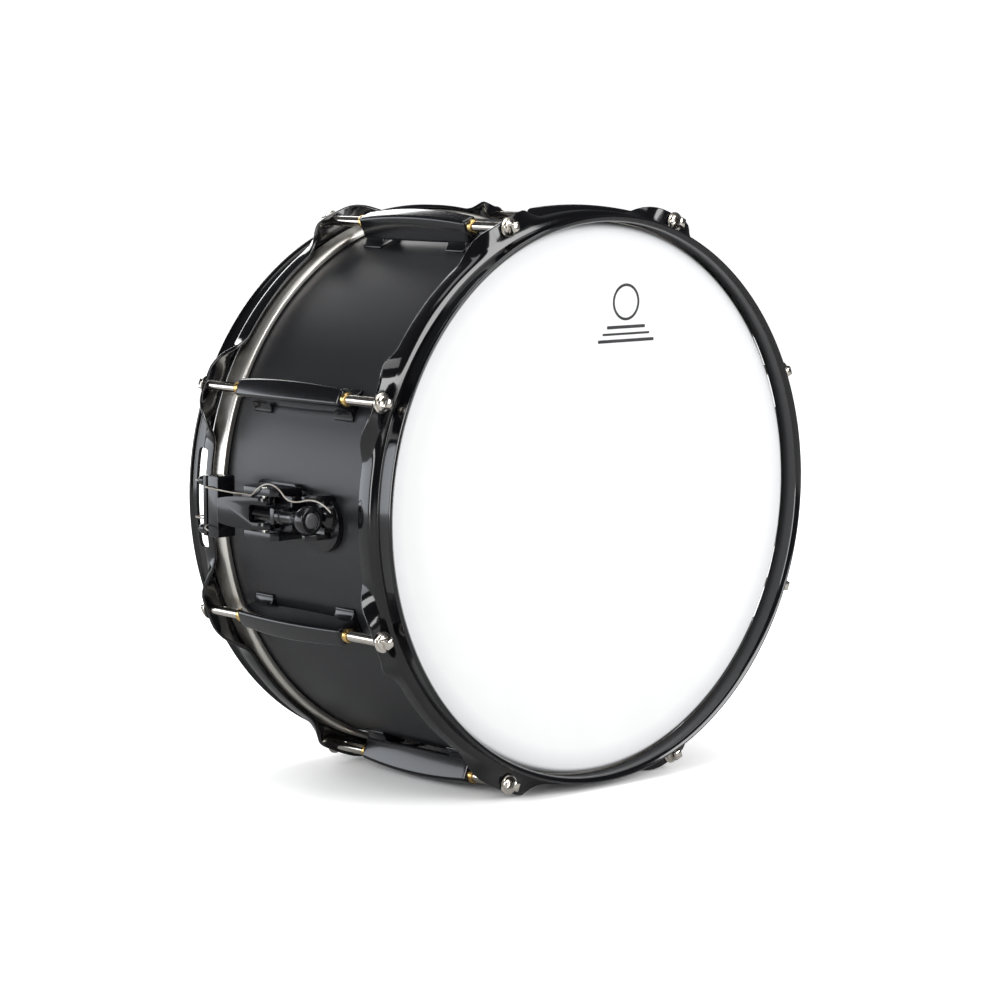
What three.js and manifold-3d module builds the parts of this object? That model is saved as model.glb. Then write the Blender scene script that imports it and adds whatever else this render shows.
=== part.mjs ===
// A 14 x 7 inch wood-shell snare drum, lying on its side.
// Millimetres. X right, Y along the drum's axis, Z up. The struck head faces -Y and the snares +Y.
// Most pieces are drawn in a sector frame: X outwards from the drum's axis, Y along it, Z sideways.

import * as THREE from 'three';
import { mergeVertices } from 'three/addons/utils/BufferGeometryUtils.js';
import Module from 'manifold-3d';

const wasm = await Module();
wasm.setup();

// ---------------------------------------------------------------- driving dimensions

const AXIS_HEIGHT = 186.45; // the drum's axis above the surface that it lies on
const AXIS_OFFSET = 4.6; // the strainer stands out further than the butt plate, so the axis is off centre
const GAP = 0.3; // clearance between touching pieces

const ROUND_STEPS = 64; // facets around the shell, the heads and the flesh hoops
const LUG_COUNT = 8;
const FIRST_LUG_ANGLE = 22.5;
const STRAINER_ANGLE = 180;
const BUTT_ANGLE = 0;
const VENT_ANGLE = 45;

const SHELL_RADIUS = 177;
const SHELL_WALL = 7;
const SHELL_HALF_DEPTH = 88.9;
const EDGE_RADIUS = 174; // crest of the bearing edge
const EDGE_FLAT = 0.4;

const FILM = 0.35;
const FILM_FACE = SHELL_HALF_DEPTH + GAP + FILM; // outer face of a head
const COLLAR_RADIUS = SHELL_RADIUS + GAP + FILM;

const FLESH_INNER = COLLAR_RADIUS + GAP;
const FLESH_OUTER = 182;
const FLESH_LOW = 66;
const FLESH_HIGH = 83.2;

const HOOP_HALF_SHEET = 1.15;
const RIM_RADIUS = 182.2;
const RIM_FACE = 101.4;
const HOOP_WALL_RADIUS = 179.3;
const SHELF_RADIUS = 184.1;
const SHELF_LEVEL = 84.9;
const SKIRT_LEVEL = 74.2;
const EAR_RADIUS = 195.5;
const GATE_HALF_WIDTH = 32.5;
const GATE_LEVELS = [79.5, 95.4];

const ROD_CIRCLE = 190.5;
const ROD_RADIUS = 2.78;
const SHANK_RADIUS = 3.3; // the plain part between the lug and the head
const ROD_INNER_END = 36;
const ROD_TIP = 94.8;
const FLANGE_LEVEL = SHELF_LEVEL + HOOP_HALF_SHEET + GAP;
const KEY_SQUARE = 6.35;

const LUG_HALF_LENGTH = 52;
const LUG_MIDDLE_RADIUS = 199;
const LUG_END_RADIUS = 195.6;
const LUG_WIDTH = 13.6;
const LUG_END_WIDTH = 11.4;
const LUG_UNDERSIDE = 180.6;
const LUG_FOOT_SPAN = [31.5, 49.4];
const LUG_FOOT_WIDTH = 21;

const CORD_RADIUS = 0.55;
const CORD_SPREAD = 12; // each cord run stands this far to the side of the middle
const CORD_GATE_LEVEL = 90.8;
const CORD_OUTER_RADIUS = 187;
const CORD_SPLIT_RADIUS = 174;
const WIRE_PLATE_INNER = 140;
const WIRE_PLATE_OUTER = 156;

// ---------------------------------------------------------------- materials

function material(colour, roughness, metalness) {
  return new THREE.MeshStandardMaterial({ color: colour, roughness, metalness });
}

const satinBlack = () => material(0x1b1b1e, 0.5, 0);
const glossBlack = () => material(0x08080a, 0.15, 0.6);
const nickel = () => material(0xb8b2a8, 0.25, 1);
const brushedAluminium = () => material(0xc9c7c2, 0.35, 1);
const coatedFilm = () => material(0xf4f4f2, 0.8, 0);
const clearFilm = () => material(0xdfe3e6, 0.3, 0);
const wireSteel = () => material(0xc2c4c8, 0.3, 1);
const nylonCord = () => material(0xe8e2d4, 0.6, 0);
const greyDisc = () => material(0x6e6e70, 0.4, 0.7);

// ---------------------------------------------------------------- geometry helpers

const degrees = (angle) => THREE.MathUtils.degToRad(angle);

function signedVolume(geometry) {
  const a = new THREE.Vector3();
  const b = new THREE.Vector3();
  const c = new THREE.Vector3();
  const { index } = geometry;
  const { position } = geometry.attributes;
  let total = 0;
  for (let i = 0; i < index.count; i += 3) {
    a.fromBufferAttribute(position, index.getX(i));
    b.fromBufferAttribute(position, index.getX(i + 1));
    c.fromBufferAttribute(position, index.getX(i + 2));
    total += a.dot(b.cross(c));
  }
  return total / 6;
}

// A closed mesh with shared vertices, its faces pointing out and no flat triangles.
function closed(geometry) {
  geometry.deleteAttribute('normal');
  geometry.deleteAttribute('uv');
  const merged = mergeVertices(geometry);
  const old = merged.index.array;
  const kept = [];
  for (let i = 0; i < old.length; i += 3) {
    const [a, b, c] = [old[i], old[i + 1], old[i + 2]];
    if (a !== b && b !== c && c !== a) kept.push(a, b, c);
  }
  merged.setIndex(kept);
  if (signedVolume(merged) < 0) {
    for (let i = 0; i < kept.length; i += 3) [kept[i], kept[i + 1]] = [kept[i + 1], kept[i]];
    merged.setIndex(kept);
  }
  return merged;
}

function solid(geometry) {
  const mesh = closed(geometry);
  const vertProperties = new Float32Array(mesh.attributes.position.array);
  const triVerts = new Uint32Array(mesh.index.array);
  return new wasm.Manifold(new wasm.Mesh({ numProp: 3, vertProperties, triVerts }));
}

function geometryOf(manifold) {
  const mesh = manifold.getMesh();
  const geometry = new THREE.BufferGeometry();
  geometry.setAttribute('position', new THREE.BufferAttribute(new Float32Array(mesh.vertProperties), 3));
  geometry.setIndex(new THREE.BufferAttribute(new Uint32Array(mesh.triVerts), 1));
  return geometry;
}

function joined(first, ...others) {
  return others.reduce((whole, next) => whole.add(next), first);
}

function cut(first, ...others) {
  return others.reduce((whole, next) => whole.subtract(next), first);
}

// A ring or a turned piece around the Y axis, from [radius, level] corners.
function turned(corners, steps = ROUND_STEPS) {
  const points = corners.map(([radius, level]) => new THREE.Vector2(radius, level));
  return new THREE.LatheGeometry(points, steps);
}

// The same, for a profile that closes on itself.
function turnedRing(corners, steps = ROUND_STEPS) {
  return turned([...corners, corners[0]], steps);
}

function box(x, y, z) {
  const geometry = new THREE.BoxGeometry(x[1] - x[0], y[1] - y[0], z[1] - z[0]);
  return geometry.translate((x[0] + x[1]) / 2, (y[0] + y[1]) / 2, (z[0] + z[1]) / 2);
}

// A round bar along Y, X or Z, from one level to another.
function barAlongY(radius, levels, x, z, sides) {
  const bar = new THREE.CylinderGeometry(radius, radius, levels[1] - levels[0], sides);
  return bar.translate(x, (levels[0] + levels[1]) / 2, z);
}

function barAlongX(radius, levels, y, z, sides) {
  const bar = new THREE.CylinderGeometry(radius, radius, levels[1] - levels[0], sides);
  return bar.rotateZ(Math.PI / 2).translate((levels[0] + levels[1]) / 2, y, z);
}

function barAlongZ(radius, levels, x, y, sides) {
  const bar = new THREE.CylinderGeometry(radius, radius, levels[1] - levels[0], sides);
  return bar.rotateX(Math.PI / 2).translate(x, y, (levels[0] + levels[1]) / 2);
}

// An outline drawn in X and Y, with its thickness along Z.
function sidePlate(outline, z) {
  const plate = new THREE.ExtrudeGeometry(outline, {
    depth: z[1] - z[0],
    bevelEnabled: false,
    curveSegments: 6,
  });
  return plate.translate(0, 0, z[0]);
}

// An outline drawn in Y and Z, with its thickness along X.
function facePlate(outline, x) {
  const turn = new THREE.Matrix4().set(0, 0, 1, 0, 1, 0, 0, 0, 0, 1, 0, 0, 0, 0, 0, 1);
  return sidePlate(outline, x).applyMatrix4(turn);
}

function polygon(corners) {
  return new THREE.Shape(corners.map(([x, y]) => new THREE.Vector2(x, y)));
}

function roundedRectangle(low, high, radius) {
  const shape = new THREE.Shape();
  shape.moveTo(low[0] + radius, low[1]);
  shape.lineTo(high[0] - radius, low[1]);
  shape.absarc(high[0] - radius, low[1] + radius, radius, -Math.PI / 2, 0);
  shape.lineTo(high[0], high[1] - radius);
  shape.absarc(high[0] - radius, high[1] - radius, radius, 0, Math.PI / 2);
  shape.lineTo(low[0] + radius, high[1]);
  shape.absarc(low[0] + radius, high[1] - radius, radius, Math.PI / 2, Math.PI);
  shape.lineTo(low[0], low[1] + radius);
  shape.absarc(low[0] + radius, low[1] + radius, radius, Math.PI, Math.PI * 1.5);
  return shape;
}

// A round cord along points, closed at both ends.
function cord(points, steps) {
  const path = new THREE.CatmullRomCurve3(points.map((point) => new THREE.Vector3(...point)));
  const section = new THREE.Shape();
  const sides = 6;
  for (let i = 0; i < sides; i += 1) {
    const angle = (i / sides) * 2 * Math.PI;
    const corner = [CORD_RADIUS * Math.cos(angle), CORD_RADIUS * Math.sin(angle)];
    if (i === 0) section.moveTo(...corner);
    else section.lineTo(...corner);
  }
  section.closePath();
  return new THREE.ExtrudeGeometry(section, { steps, extrudePath: path, bevelEnabled: false });
}

// The shell's outside, a little proud of its facets, for fitting a foot or a plate to it.
function shellSurface() {
  const steepest = SHELL_RADIUS / Math.cos(Math.PI / ROUND_STEPS) + GAP;
  const surface = new THREE.CylinderGeometry(steepest, steepest, 2 * SHELL_HALF_DEPTH, ROUND_STEPS);
  return solid(surface);
}

// ---------------------------------------------------------------- scene graph

const drum = new THREE.Group();
drum.position.set(AXIS_OFFSET, 0, AXIS_HEIGHT);

function addPiece(parent, name, shape, finish) {
  const geometry = shape instanceof THREE.BufferGeometry ? closed(shape) : geometryOf(shape);
  const mesh = new THREE.Mesh(geometry, finish);
  mesh.name = name;
  parent.add(mesh);
  return mesh;
}

// A group whose X axis points outwards at an angle around the drum.
function sector(angle) {
  const group = new THREE.Group();
  group.rotation.y = -degrees(angle);
  drum.add(group);
  return group;
}

// The same pieces turned over end for end, so that what was drawn at +Y is at -Y.
function turnedOver(parent) {
  const group = new THREE.Group();
  group.rotation.x = Math.PI;
  parent.add(group);
  return group;
}

// ---------------------------------------------------------------- shell and vent

const VENT_RADIUS = 6;

function shellPiece() {
  const inner = SHELL_RADIUS - SHELL_WALL;
  const shoulder = 85.6;
  const heel = 84.9;
  const half = [
    [inner, heel],
    [EDGE_RADIUS - EDGE_FLAT / 2, SHELL_HALF_DEPTH],
    [EDGE_RADIUS + EDGE_FLAT / 2, SHELL_HALF_DEPTH],
    [SHELL_RADIUS, shoulder],
  ];
  const mirrored = half.map(([radius, level]) => [radius, -level]).reverse();
  const wall = solid(turnedRing([...half, ...mirrored]));
  const angle = degrees(VENT_ANGLE);
  const hole = barAlongX(VENT_RADIUS + GAP, [inner - 10, SHELL_RADIUS + 10], 0, 0, 24);
  return wall.subtract(solid(hole.rotateY(-angle)));
}

function ventGrommet() {
  const flange = SHELL_RADIUS + GAP;
  const barrelEnd = SHELL_RADIUS - SHELL_WALL - 1.6;
  const bore = 4.4;
  const profile = [
    [bore, barrelEnd],
    [VENT_RADIUS, barrelEnd],
    [VENT_RADIUS, flange],
    [9.4, flange],
    [9.4, flange + 0.6],
    [7.6, flange + 1.5],
    [bore, flange + 1.5],
  ];
  return turnedRing(profile, 24).rotateZ(-Math.PI / 2);
}

addPiece(drum, 'shell', shellPiece(), satinBlack());
addPiece(sector(VENT_ANGLE), 'vent_grommet', ventGrommet(), nickel());

// ---------------------------------------------------------------- heads

function headFilm() {
  const inside = FILM_FACE - FILM;
  const crest = EDGE_RADIUS + 0.8;
  const shoulder = 85.4;
  const hem = FLESH_LOW + 3;
  return turned([
    [0, FILM_FACE],
    [crest, FILM_FACE],
    [COLLAR_RADIUS, shoulder],
    [COLLAR_RADIUS, hem],
    [COLLAR_RADIUS - FILM, hem],
    [COLLAR_RADIUS - FILM, shoulder],
    [crest - FILM, inside],
    [0, inside],
  ]);
}

function fleshHoop() {
  return turnedRing([
    [FLESH_INNER, FLESH_LOW],
    [FLESH_OUTER, FLESH_LOW],
    [FLESH_OUTER, FLESH_HIGH],
    [FLESH_INNER, FLESH_HIGH],
  ]);
}

// ---------------------------------------------------------------- counter hoops

const EAR_COLUMNS = [0, 2.4, 4.2, 6.2, 8.6, 12, 17];
const EAR_FLAT_ANGLE = 2.4;
const EAR_END_ANGLE = 12;

// How far the skirt has turned out into an ear: 1 at a rod, 0 between the lugs.
function earShare(angle) {
  const step = 360 / LUG_COUNT;
  const nearest = FIRST_LUG_ANGLE + step * Math.round((angle - FIRST_LUG_ANGLE) / step);
  const away = Math.abs(angle - nearest);
  return 1 - THREE.MathUtils.smoothstep(away, EAR_FLAT_ANGLE, EAR_END_ANGLE);
}

// The middle line of the sheet at one angle, from the rim to the skirt's or the ear's edge.
function hoopLine(angle) {
  const ear = earShare(angle);
  const slope = -degrees(90) * (1 - ear);
  const drop = SHELF_LEVEL - SKIRT_LEVEL;
  const reach = EAR_RADIUS - SHELF_RADIUS;
  const width = THREE.MathUtils.lerp(drop, reach, ear);
  return [
    [RIM_RADIUS, RIM_FACE - 0.5],
    [HOOP_WALL_RADIUS, 98.9],
    [HOOP_WALL_RADIUS, 86.6],
    [SHELF_RADIUS, SHELF_LEVEL],
    [SHELF_RADIUS + width * Math.cos(slope), SHELF_LEVEL + width * Math.sin(slope)],
  ].map(([x, y]) => new THREE.Vector2(x, y));
}

// The closed section of the sheet: its middle line moved half a thickness to each side.
function hoopSection(angle) {
  const line = hoopLine(angle);
  const shifted = (side) =>
    line.map((point, i) => {
      const before = line[Math.max(i - 1, 0)];
      const after = line[Math.min(i + 1, line.length - 1)];
      const into = point.clone().sub(before).normalize();
      const out = after.clone().sub(point).normalize();
      if (i === 0) into.copy(out);
      if (i === line.length - 1) out.copy(into);
      const along = into.add(out).normalize();
      const stretch = 1 / Math.max(Math.abs(along.dot(out)), 0.6);
      const across = new THREE.Vector2(-along.y, along.x).multiplyScalar(side * HOOP_HALF_SHEET * stretch);
      return point.clone().add(across);
    });
  const outer = shifted(1);
  const inner = shifted(-1).reverse();
  outer[0].y = RIM_FACE;
  inner[inner.length - 1].y = RIM_FACE;
  return [...outer, ...inner, outer[0].clone()];
}

function hoopAngles() {
  const angles = [];
  const step = 360 / LUG_COUNT;
  for (let k = 0; k < LUG_COUNT; k += 1) {
    const middle = FIRST_LUG_ANGLE + k * step;
    EAR_COLUMNS.slice(1).reverse().forEach((away) => angles.push(middle - away));
    EAR_COLUMNS.forEach((away) => angles.push(middle + away));
    angles.push(middle + step / 2);
  }
  return angles;
}

// A lathe whose section changes on the way round.
function hoopRing() {
  const angles = hoopAngles();
  const first = hoopSection(angles[0]);
  const ring = new THREE.LatheGeometry(first, angles.length);
  const { position } = ring.attributes;
  [...angles, angles[0]].forEach((angle, column) => {
    hoopSection(angle).forEach((point, row) => {
      const turn = degrees(angle);
      const spot = column * first.length + row;
      position.setXYZ(spot, point.x * Math.cos(turn), point.y, point.x * Math.sin(turn));
    });
  });
  return solid(ring);
}

function counterHoop(withGates) {
  const holes = [];
  for (let k = 0; k < LUG_COUNT; k += 1) {
    const angle = degrees(FIRST_LUG_ANGLE + (k * 360) / LUG_COUNT);
    const x = ROD_CIRCLE * Math.cos(angle);
    const z = ROD_CIRCLE * Math.sin(angle);
    holes.push(solid(barAlongY(3.5, [70, 100], x, z, 12)));
  }
  const across = 2 * RIM_RADIUS;
  const gate = solid(box([-across, across], GATE_LEVELS, [-GATE_HALF_WIDTH, GATE_HALF_WIDTH]));
  return cut(hoopRing(), ...holes, ...(withGates ? [gate] : []));
}

const batterSide = turnedOver(drum);
addPiece(batterSide, 'batter_head', headFilm(), coatedFilm());
addPiece(batterSide, 'batter_flesh_hoop', fleshHoop(), brushedAluminium());
addPiece(batterSide, 'batter_hoop', counterHoop(false), glossBlack());
addPiece(drum, 'snare_side_head', headFilm(), clearFilm());
addPiece(drum, 'snare_side_flesh_hoop', fleshHoop(), brushedAluminium());
addPiece(drum, 'snare_side_hoop', counterHoop(true), glossBlack());

// ---------------------------------------------------------------- lugs and tension rods

const LUG_BORE_RADIUS = 3.75;

// The outer face bows from the ends to the middle, so its arc goes through three points.
function bow(endRadius, middleRadius, halfLength) {
  const rise = middleRadius - endRadius;
  return (rise * rise + halfLength * halfLength) / (2 * rise);
}

// A narrow bowed bridge that stands on a broad pad near each end. The pads spread out towards the shell.
function lugPiece() {
  const end = LUG_HALF_LENGTH;
  const round = 2.4; // rounding of the bridge's ends
  const radius = bow(LUG_END_RADIUS, LUG_MIDDLE_RADIUS, end);
  const halfAngle = Math.asin((end - round) / radius);
  const outerCorner = LUG_MIDDLE_RADIUS - radius + radius * Math.cos(halfAngle);
  const profile = new THREE.Shape();
  profile.moveTo(LUG_UNDERSIDE + round, -end);
  profile.lineTo(outerCorner - round, -end);
  profile.quadraticCurveTo(outerCorner, -end, outerCorner, -end + round);
  profile.absarc(LUG_MIDDLE_RADIUS - radius, 0, radius, -halfAngle, halfAngle);
  profile.quadraticCurveTo(outerCorner, end, outerCorner - round, end);
  profile.lineTo(LUG_UNDERSIDE + round, end);
  profile.quadraticCurveTo(LUG_UNDERSIDE, end, LUG_UNDERSIDE, end - round);
  profile.lineTo(LUG_UNDERSIDE, -end + round);
  profile.quadraticCurveTo(LUG_UNDERSIDE, -end, LUG_UNDERSIDE + round, -end);
  const bridge = solid(sidePlate(profile, [-LUG_WIDTH / 2, LUG_WIDTH / 2]));

  const endHalf = LUG_END_WIDTH / 2;
  const middleHalf = LUG_WIDTH / 2;
  const plan = new THREE.Shape();
  plan.moveTo(-end - 1, -endHalf);
  plan.quadraticCurveTo(0, -2 * middleHalf + endHalf, end + 1, -endHalf);
  plan.lineTo(end + 1, endHalf);
  plan.quadraticCurveTo(0, 2 * middleHalf - endHalf, -end - 1, endHalf);
  const taper = solid(facePlate(plan, [LUG_UNDERSIDE - 1, LUG_MIDDLE_RADIUS + 1]));

  const foot = SHELL_RADIUS - 1;
  const ledge = SHELL_RADIUS + 1.1;
  const padTop = LUG_UNDERSIDE + 2;
  const padHalf = LUG_FOOT_WIDTH / 2;
  const neck = endHalf - 0.2;
  const section = new THREE.Shape();
  section.moveTo(foot, -padHalf);
  section.lineTo(ledge, -padHalf);
  section.quadraticCurveTo(ledge + 1.2, -neck - 1.6, padTop, -neck);
  section.lineTo(padTop, neck);
  section.quadraticCurveTo(ledge + 1.2, neck + 1.6, ledge, padHalf);
  section.lineTo(foot, padHalf);
  const pads = [-1, 1].map((side) => {
    const [low, high] = LUG_FOOT_SPAN;
    const from = side > 0 ? -high : low;
    const pad = new THREE.ExtrudeGeometry(section, { depth: high - low, bevelEnabled: false, curveSegments: 5 });
    return solid(pad.rotateX(-Math.PI / 2).translate(0, from, 0));
  });

  const bore = solid(barAlongY(LUG_BORE_RADIUS, [-end - 2, end + 2], ROD_CIRCLE, 0, 12));
  return cut(joined(bridge.intersect(taper), ...pads), shellSurface(), bore);
}

function tensionRod() {
  const sides = 8;
  const shaft = turned(
    [
      [0, ROD_INNER_END],
      [ROD_RADIUS, ROD_INNER_END],
      [ROD_RADIUS, LUG_HALF_LENGTH + 2],
      [SHANK_RADIUS, LUG_HALF_LENGTH + 2.6],
      [SHANK_RADIUS, FLANGE_LEVEL],
      [5.9, FLANGE_LEVEL],
      [5.9, FLANGE_LEVEL + 1.5],
      [4.4, FLANGE_LEVEL + 2.6],
      [0, FLANGE_LEVEL + 2.6],
    ],
    sides,
  );
  const corner = (KEY_SQUARE / 2) * Math.SQRT2;
  const squareTop = ROD_TIP - 1.2;
  const squareLow = FLANGE_LEVEL + 1;
  const square = new THREE.CylinderGeometry(corner, corner, squareTop - squareLow, 4);
  const tip = new THREE.CylinderGeometry(corner * 0.6, corner, ROD_TIP - squareTop, 4);
  square.rotateY(Math.PI / 4).translate(0, (squareTop + squareLow) / 2, 0);
  tip.rotateY(Math.PI / 4).translate(0, (ROD_TIP + squareTop) / 2, 0);
  return joined(solid(shaft), solid(square), solid(tip)).translate([ROD_CIRCLE, 0, 0]);
}

for (let k = 0; k < LUG_COUNT; k += 1) {
  const place = sector(FIRST_LUG_ANGLE + (k * 360) / LUG_COUNT);
  const number = k + 1;
  addPiece(place, `lug_${number}`, lugPiece(), glossBlack());
  addPiece(place, `snare_side_rod_${number}`, tensionRod(), nickel());
  addPiece(turnedOver(place), `batter_rod_${number}`, tensionRod(), nickel());
}

// ---------------------------------------------------------------- strainer (throw-off)
// Drawn with the lever closed. The slide carries the clamp, and the lever pushes it to +Y to let go.

const strainer = sector(STRAINER_ANGLE);

const BASE_FACE = 181; // outer face of the plate that is screwed to the shell
const CHEEK_INNER = 11.6;
const CHEEK_OUTER = 16;
const CHEEK_TOP = 203.4;
const CHEEK_SPAN = [-15, 22];
const PIVOT = [199, -1]; // radius and level of the lever's pin
const PIVOT_HOLE = 2.35;
const PIN_RADIUS = 2.1;
const SCREW_AXIS = 201;
const SCREW_RADIUS = 2.5;
const POST_SPAN = [-18.6, -14.8];
const CLAMP_FACE = 51.4; // the cords are squeezed between this face and the clamp plate
const CLAMP_SLIT = 2 * CORD_RADIUS + 2 * GAP;
const CLAMP_PLATE = 3.4;
const CLAMP_STUD_RADIUS = 2.1;
const CLAMP_STUD = [200.5, 15.4]; // radius, and distance to the side of the middle

function strainerBase() {
  const outline = new THREE.Shape();
  const roundEnd = { level: -33, sideways: 5, radius: 18 };
  outline.absarc(roundEnd.level, roundEnd.sideways, roundEnd.radius, degrees(80), degrees(280));
  outline.lineTo(26, -17.5);
  outline.absarc(24, -13.5, 4, -degrees(60), 0);
  outline.absarc(24, 13.5, 4, 0, degrees(60));
  const plate = solid(facePlate(outline, [175, BASE_FACE]));
  const step = solid(facePlate(roundedRectangle([-11, -17.2], [27.4, 17.2], 3), [178, BASE_FACE + 1.3]));
  const cheeks = [-1, 1].map((side) => {
    const profile = polygon([
      [BASE_FACE - 1, CHEEK_SPAN[0]],
      [CHEEK_TOP - 4, CHEEK_SPAN[0]],
      [CHEEK_TOP, CHEEK_SPAN[0] + 4],
      [CHEEK_TOP, CHEEK_SPAN[1] - 7],
      [CHEEK_TOP - 7, CHEEK_SPAN[1]],
      [BASE_FACE - 1, CHEEK_SPAN[1]],
    ]);
    const z = side > 0 ? [CHEEK_INNER, CHEEK_OUTER] : [-CHEEK_OUTER, -CHEEK_INNER];
    return solid(sidePlate(profile, z));
  });
  const fins = [-1, 1].map((side) => {
    const z = side > 0 ? [10.4, 13.6] : [-13.6, -10.4];
    const profile = polygon([
      [BASE_FACE - 1, -44],
      [190, -43],
      [199, -40],
      [199, -37.5],
      [188, -33],
      [BASE_FACE - 1, -31],
    ]);
    return solid(sidePlate(profile, z));
  });
  const bridge = solid(box([BASE_FACE - 1, 186], [-43, -33], [-11, 11]));
  const boss = new THREE.SphereGeometry(8.5, 16, 10).scale(1, 0.9, 1.05).translate(BASE_FACE - 0.5, -41.5, 0);
  const pinHole = solid(barAlongZ(PIVOT_HOLE, [-20, 20], PIVOT[0], PIVOT[1], 16));
  const whole = joined(plate, step, ...cheeks, ...fins, bridge, solid(boss));
  return cut(whole, shellSurface(), pinHole);
}

// A hinge pin with a shoulder head outside each cheek would be one long bar, but the screw passes
// through its middle, so each cheek holds its own short stub.
function pivotPin(side) {
  const z = side > 0 ? [5.9, CHEEK_OUTER + 0.6] : [-CHEEK_OUTER - 0.6, -5.9];
  return barAlongZ(PIN_RADIUS, z, PIVOT[0], PIVOT[1], 14);
}

function strainerLever() {
  const [pivotX, pivotY] = PIVOT;
  const knuckle = 6.4;
  const profile = new THREE.Shape();
  profile.absarc(pivotX, pivotY, knuckle, degrees(90), degrees(360));
  profile.lineTo(pivotX + knuckle + 0.8, pivotY + 3);
  profile.quadraticCurveTo(pivotX + 9.6, 14, 211.6, 31);
  profile.quadraticCurveTo(211.8, 33, 209.8, 33);
  profile.quadraticCurveTo(206.2, 20, 204.5, 9);
  profile.lineTo(204.5, pivotY + knuckle);
  const body = solid(sidePlate(profile, [-10, 10]));
  const plan = new THREE.Shape();
  plan.moveTo(-20, -9.8);
  plan.lineTo(10, -10);
  plan.quadraticCurveTo(25, -9.6, 31.5, -7.4);
  plan.quadraticCurveTo(33.5, -6, 33.5, -3);
  plan.lineTo(33.5, 3);
  plan.quadraticCurveTo(33.5, 6, 31.5, 7.4);
  plan.quadraticCurveTo(25, 9.6, 10, 10);
  plan.lineTo(-20, 9.8);
  const outline = solid(facePlate(plan, [185, 215]));
  const notch = solid(facePlate(roundedRectangle([-20, -5.6], [5.7, 5.6], 2.4), [185, 215]));
  const pinHole = solid(barAlongZ(PIVOT_HOLE, [-20, 20], pivotX, pivotY, 16));
  return cut(body.intersect(outline), notch, pinHole);
}

function strainerSlide() {
  const block = solid(box([BASE_FACE + 1.7, 191.8], [POST_SPAN[0], 20], [-11.2, 11.2]));
  const post = solid(facePlate(roundedRectangle([POST_SPAN[0], -5], [POST_SPAN[1], 5], 1.2), [186, 206]));
  const hole = solid(barAlongY(SCREW_RADIUS + 0.25, [-30, 0], SCREW_AXIS, 0, 14));
  return cut(joined(block, post), hole);
}

function clampStudHoles() {
  const [x, z] = CLAMP_STUD;
  return [-1, 1].map((side) => solid(barAlongY(CLAMP_STUD_RADIUS, [44, 60], x, side * z, 10)));
}

function strainerCarriage() {
  const tongue = solid(box([184.2, 191.8], [22.6, 50], [-9, 9]));
  const block = solid(facePlate(roundedRectangle([41, -19.5], [CLAMP_FACE, 19.5], 1.5), [190.5, 204]));
  const hole = solid(barAlongY(SCREW_RADIUS + 0.25, [30, 48.5], SCREW_AXIS, 0, 14));
  return cut(joined(tongue, block), hole, ...clampStudHoles());
}

function clampPlate() {
  const low = CLAMP_FACE + CLAMP_SLIT;
  const plate = solid(facePlate(roundedRectangle([low, -19.2], [low + CLAMP_PLATE, 19.2], 0.8), [191, 204]));
  return cut(plate, ...clampStudHoles());
}

function clampScrew(side) {
  const headLow = CLAMP_FACE + CLAMP_SLIT + CLAMP_PLATE + GAP;
  const profile = [
    [0, 44.5],
    [1.8, 44.5],
    [1.8, headLow],
    [3.3, headLow],
    [3.3, headLow + 4.4],
    [2.3, headLow + 6.2],
    [0, headLow + 6.8],
  ];
  return turned(profile, 12).translate(CLAMP_STUD[0], 0, side * CLAMP_STUD[1]);
}

function adjustingScrew() {
  return barAlongY(SCREW_RADIUS, [POST_SPAN[0] + 0.2, 47.4], SCREW_AXIS, 0, 14);
}

const KNOB_DISC_RADIUS = 5;

// A trumpet-shaped knob with a recess in its flat end.
function strainerKnob() {
  const neckEnd = POST_SPAN[0] - GAP;
  const profile = [
    [0, neckEnd],
    [4.2, neckEnd],
    [4.2, -30],
    [4.9, -34.5],
    [6.6, -39.5],
    [8.6, -43.5],
    [8.8, -46],
    [8.4, -49.4],
    [7.6, -50],
    [5.4, -50],
    [5.4, -49],
    [0, -49],
  ];
  return turned(profile, 24).translate(SCREW_AXIS, 0, 0);
}

function knobDisc() {
  return barAlongY(KNOB_DISC_RADIUS, [-50, -49.2], SCREW_AXIS, 0, 20);
}

addPiece(strainer, 'strainer_base', strainerBase(), glossBlack());
addPiece(strainer, 'lever_pin_lower', pivotPin(1), nickel());
addPiece(strainer, 'lever_pin_upper', pivotPin(-1), nickel());
addPiece(strainer, 'strainer_lever', strainerLever(), glossBlack());
addPiece(strainer, 'strainer_slide', strainerSlide(), glossBlack());
addPiece(strainer, 'strainer_clamp_block', strainerCarriage(), glossBlack());
addPiece(strainer, 'strainer_clamp_plate', clampPlate(), glossBlack());
addPiece(strainer, 'strainer_clamp_screw_lower', clampScrew(1), nickel());
addPiece(strainer, 'strainer_clamp_screw_upper', clampScrew(-1), nickel());
addPiece(strainer, 'adjusting_screw', adjustingScrew(), nickel());
addPiece(strainer, 'adjusting_knob', strainerKnob(), glossBlack());
addPiece(strainer, 'adjusting_knob_disc', knobDisc(), greyDisc());

// ---------------------------------------------------------------- butt plate

const butt = sector(BUTT_ANGLE);
const BUTT_BLOCK_FACE = 193.8;
const BUTT_SPAN = [28, 50];
const BUTT_SCREW_LEVEL = 39;
const BUTT_SCREW_SPREAD = 14.6;

function buttScrewHoles() {
  return [-1, 1].map((side) =>
    solid(barAlongX(2.1, [185, 205], BUTT_SCREW_LEVEL, side * BUTT_SCREW_SPREAD, 12)),
  );
}

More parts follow.
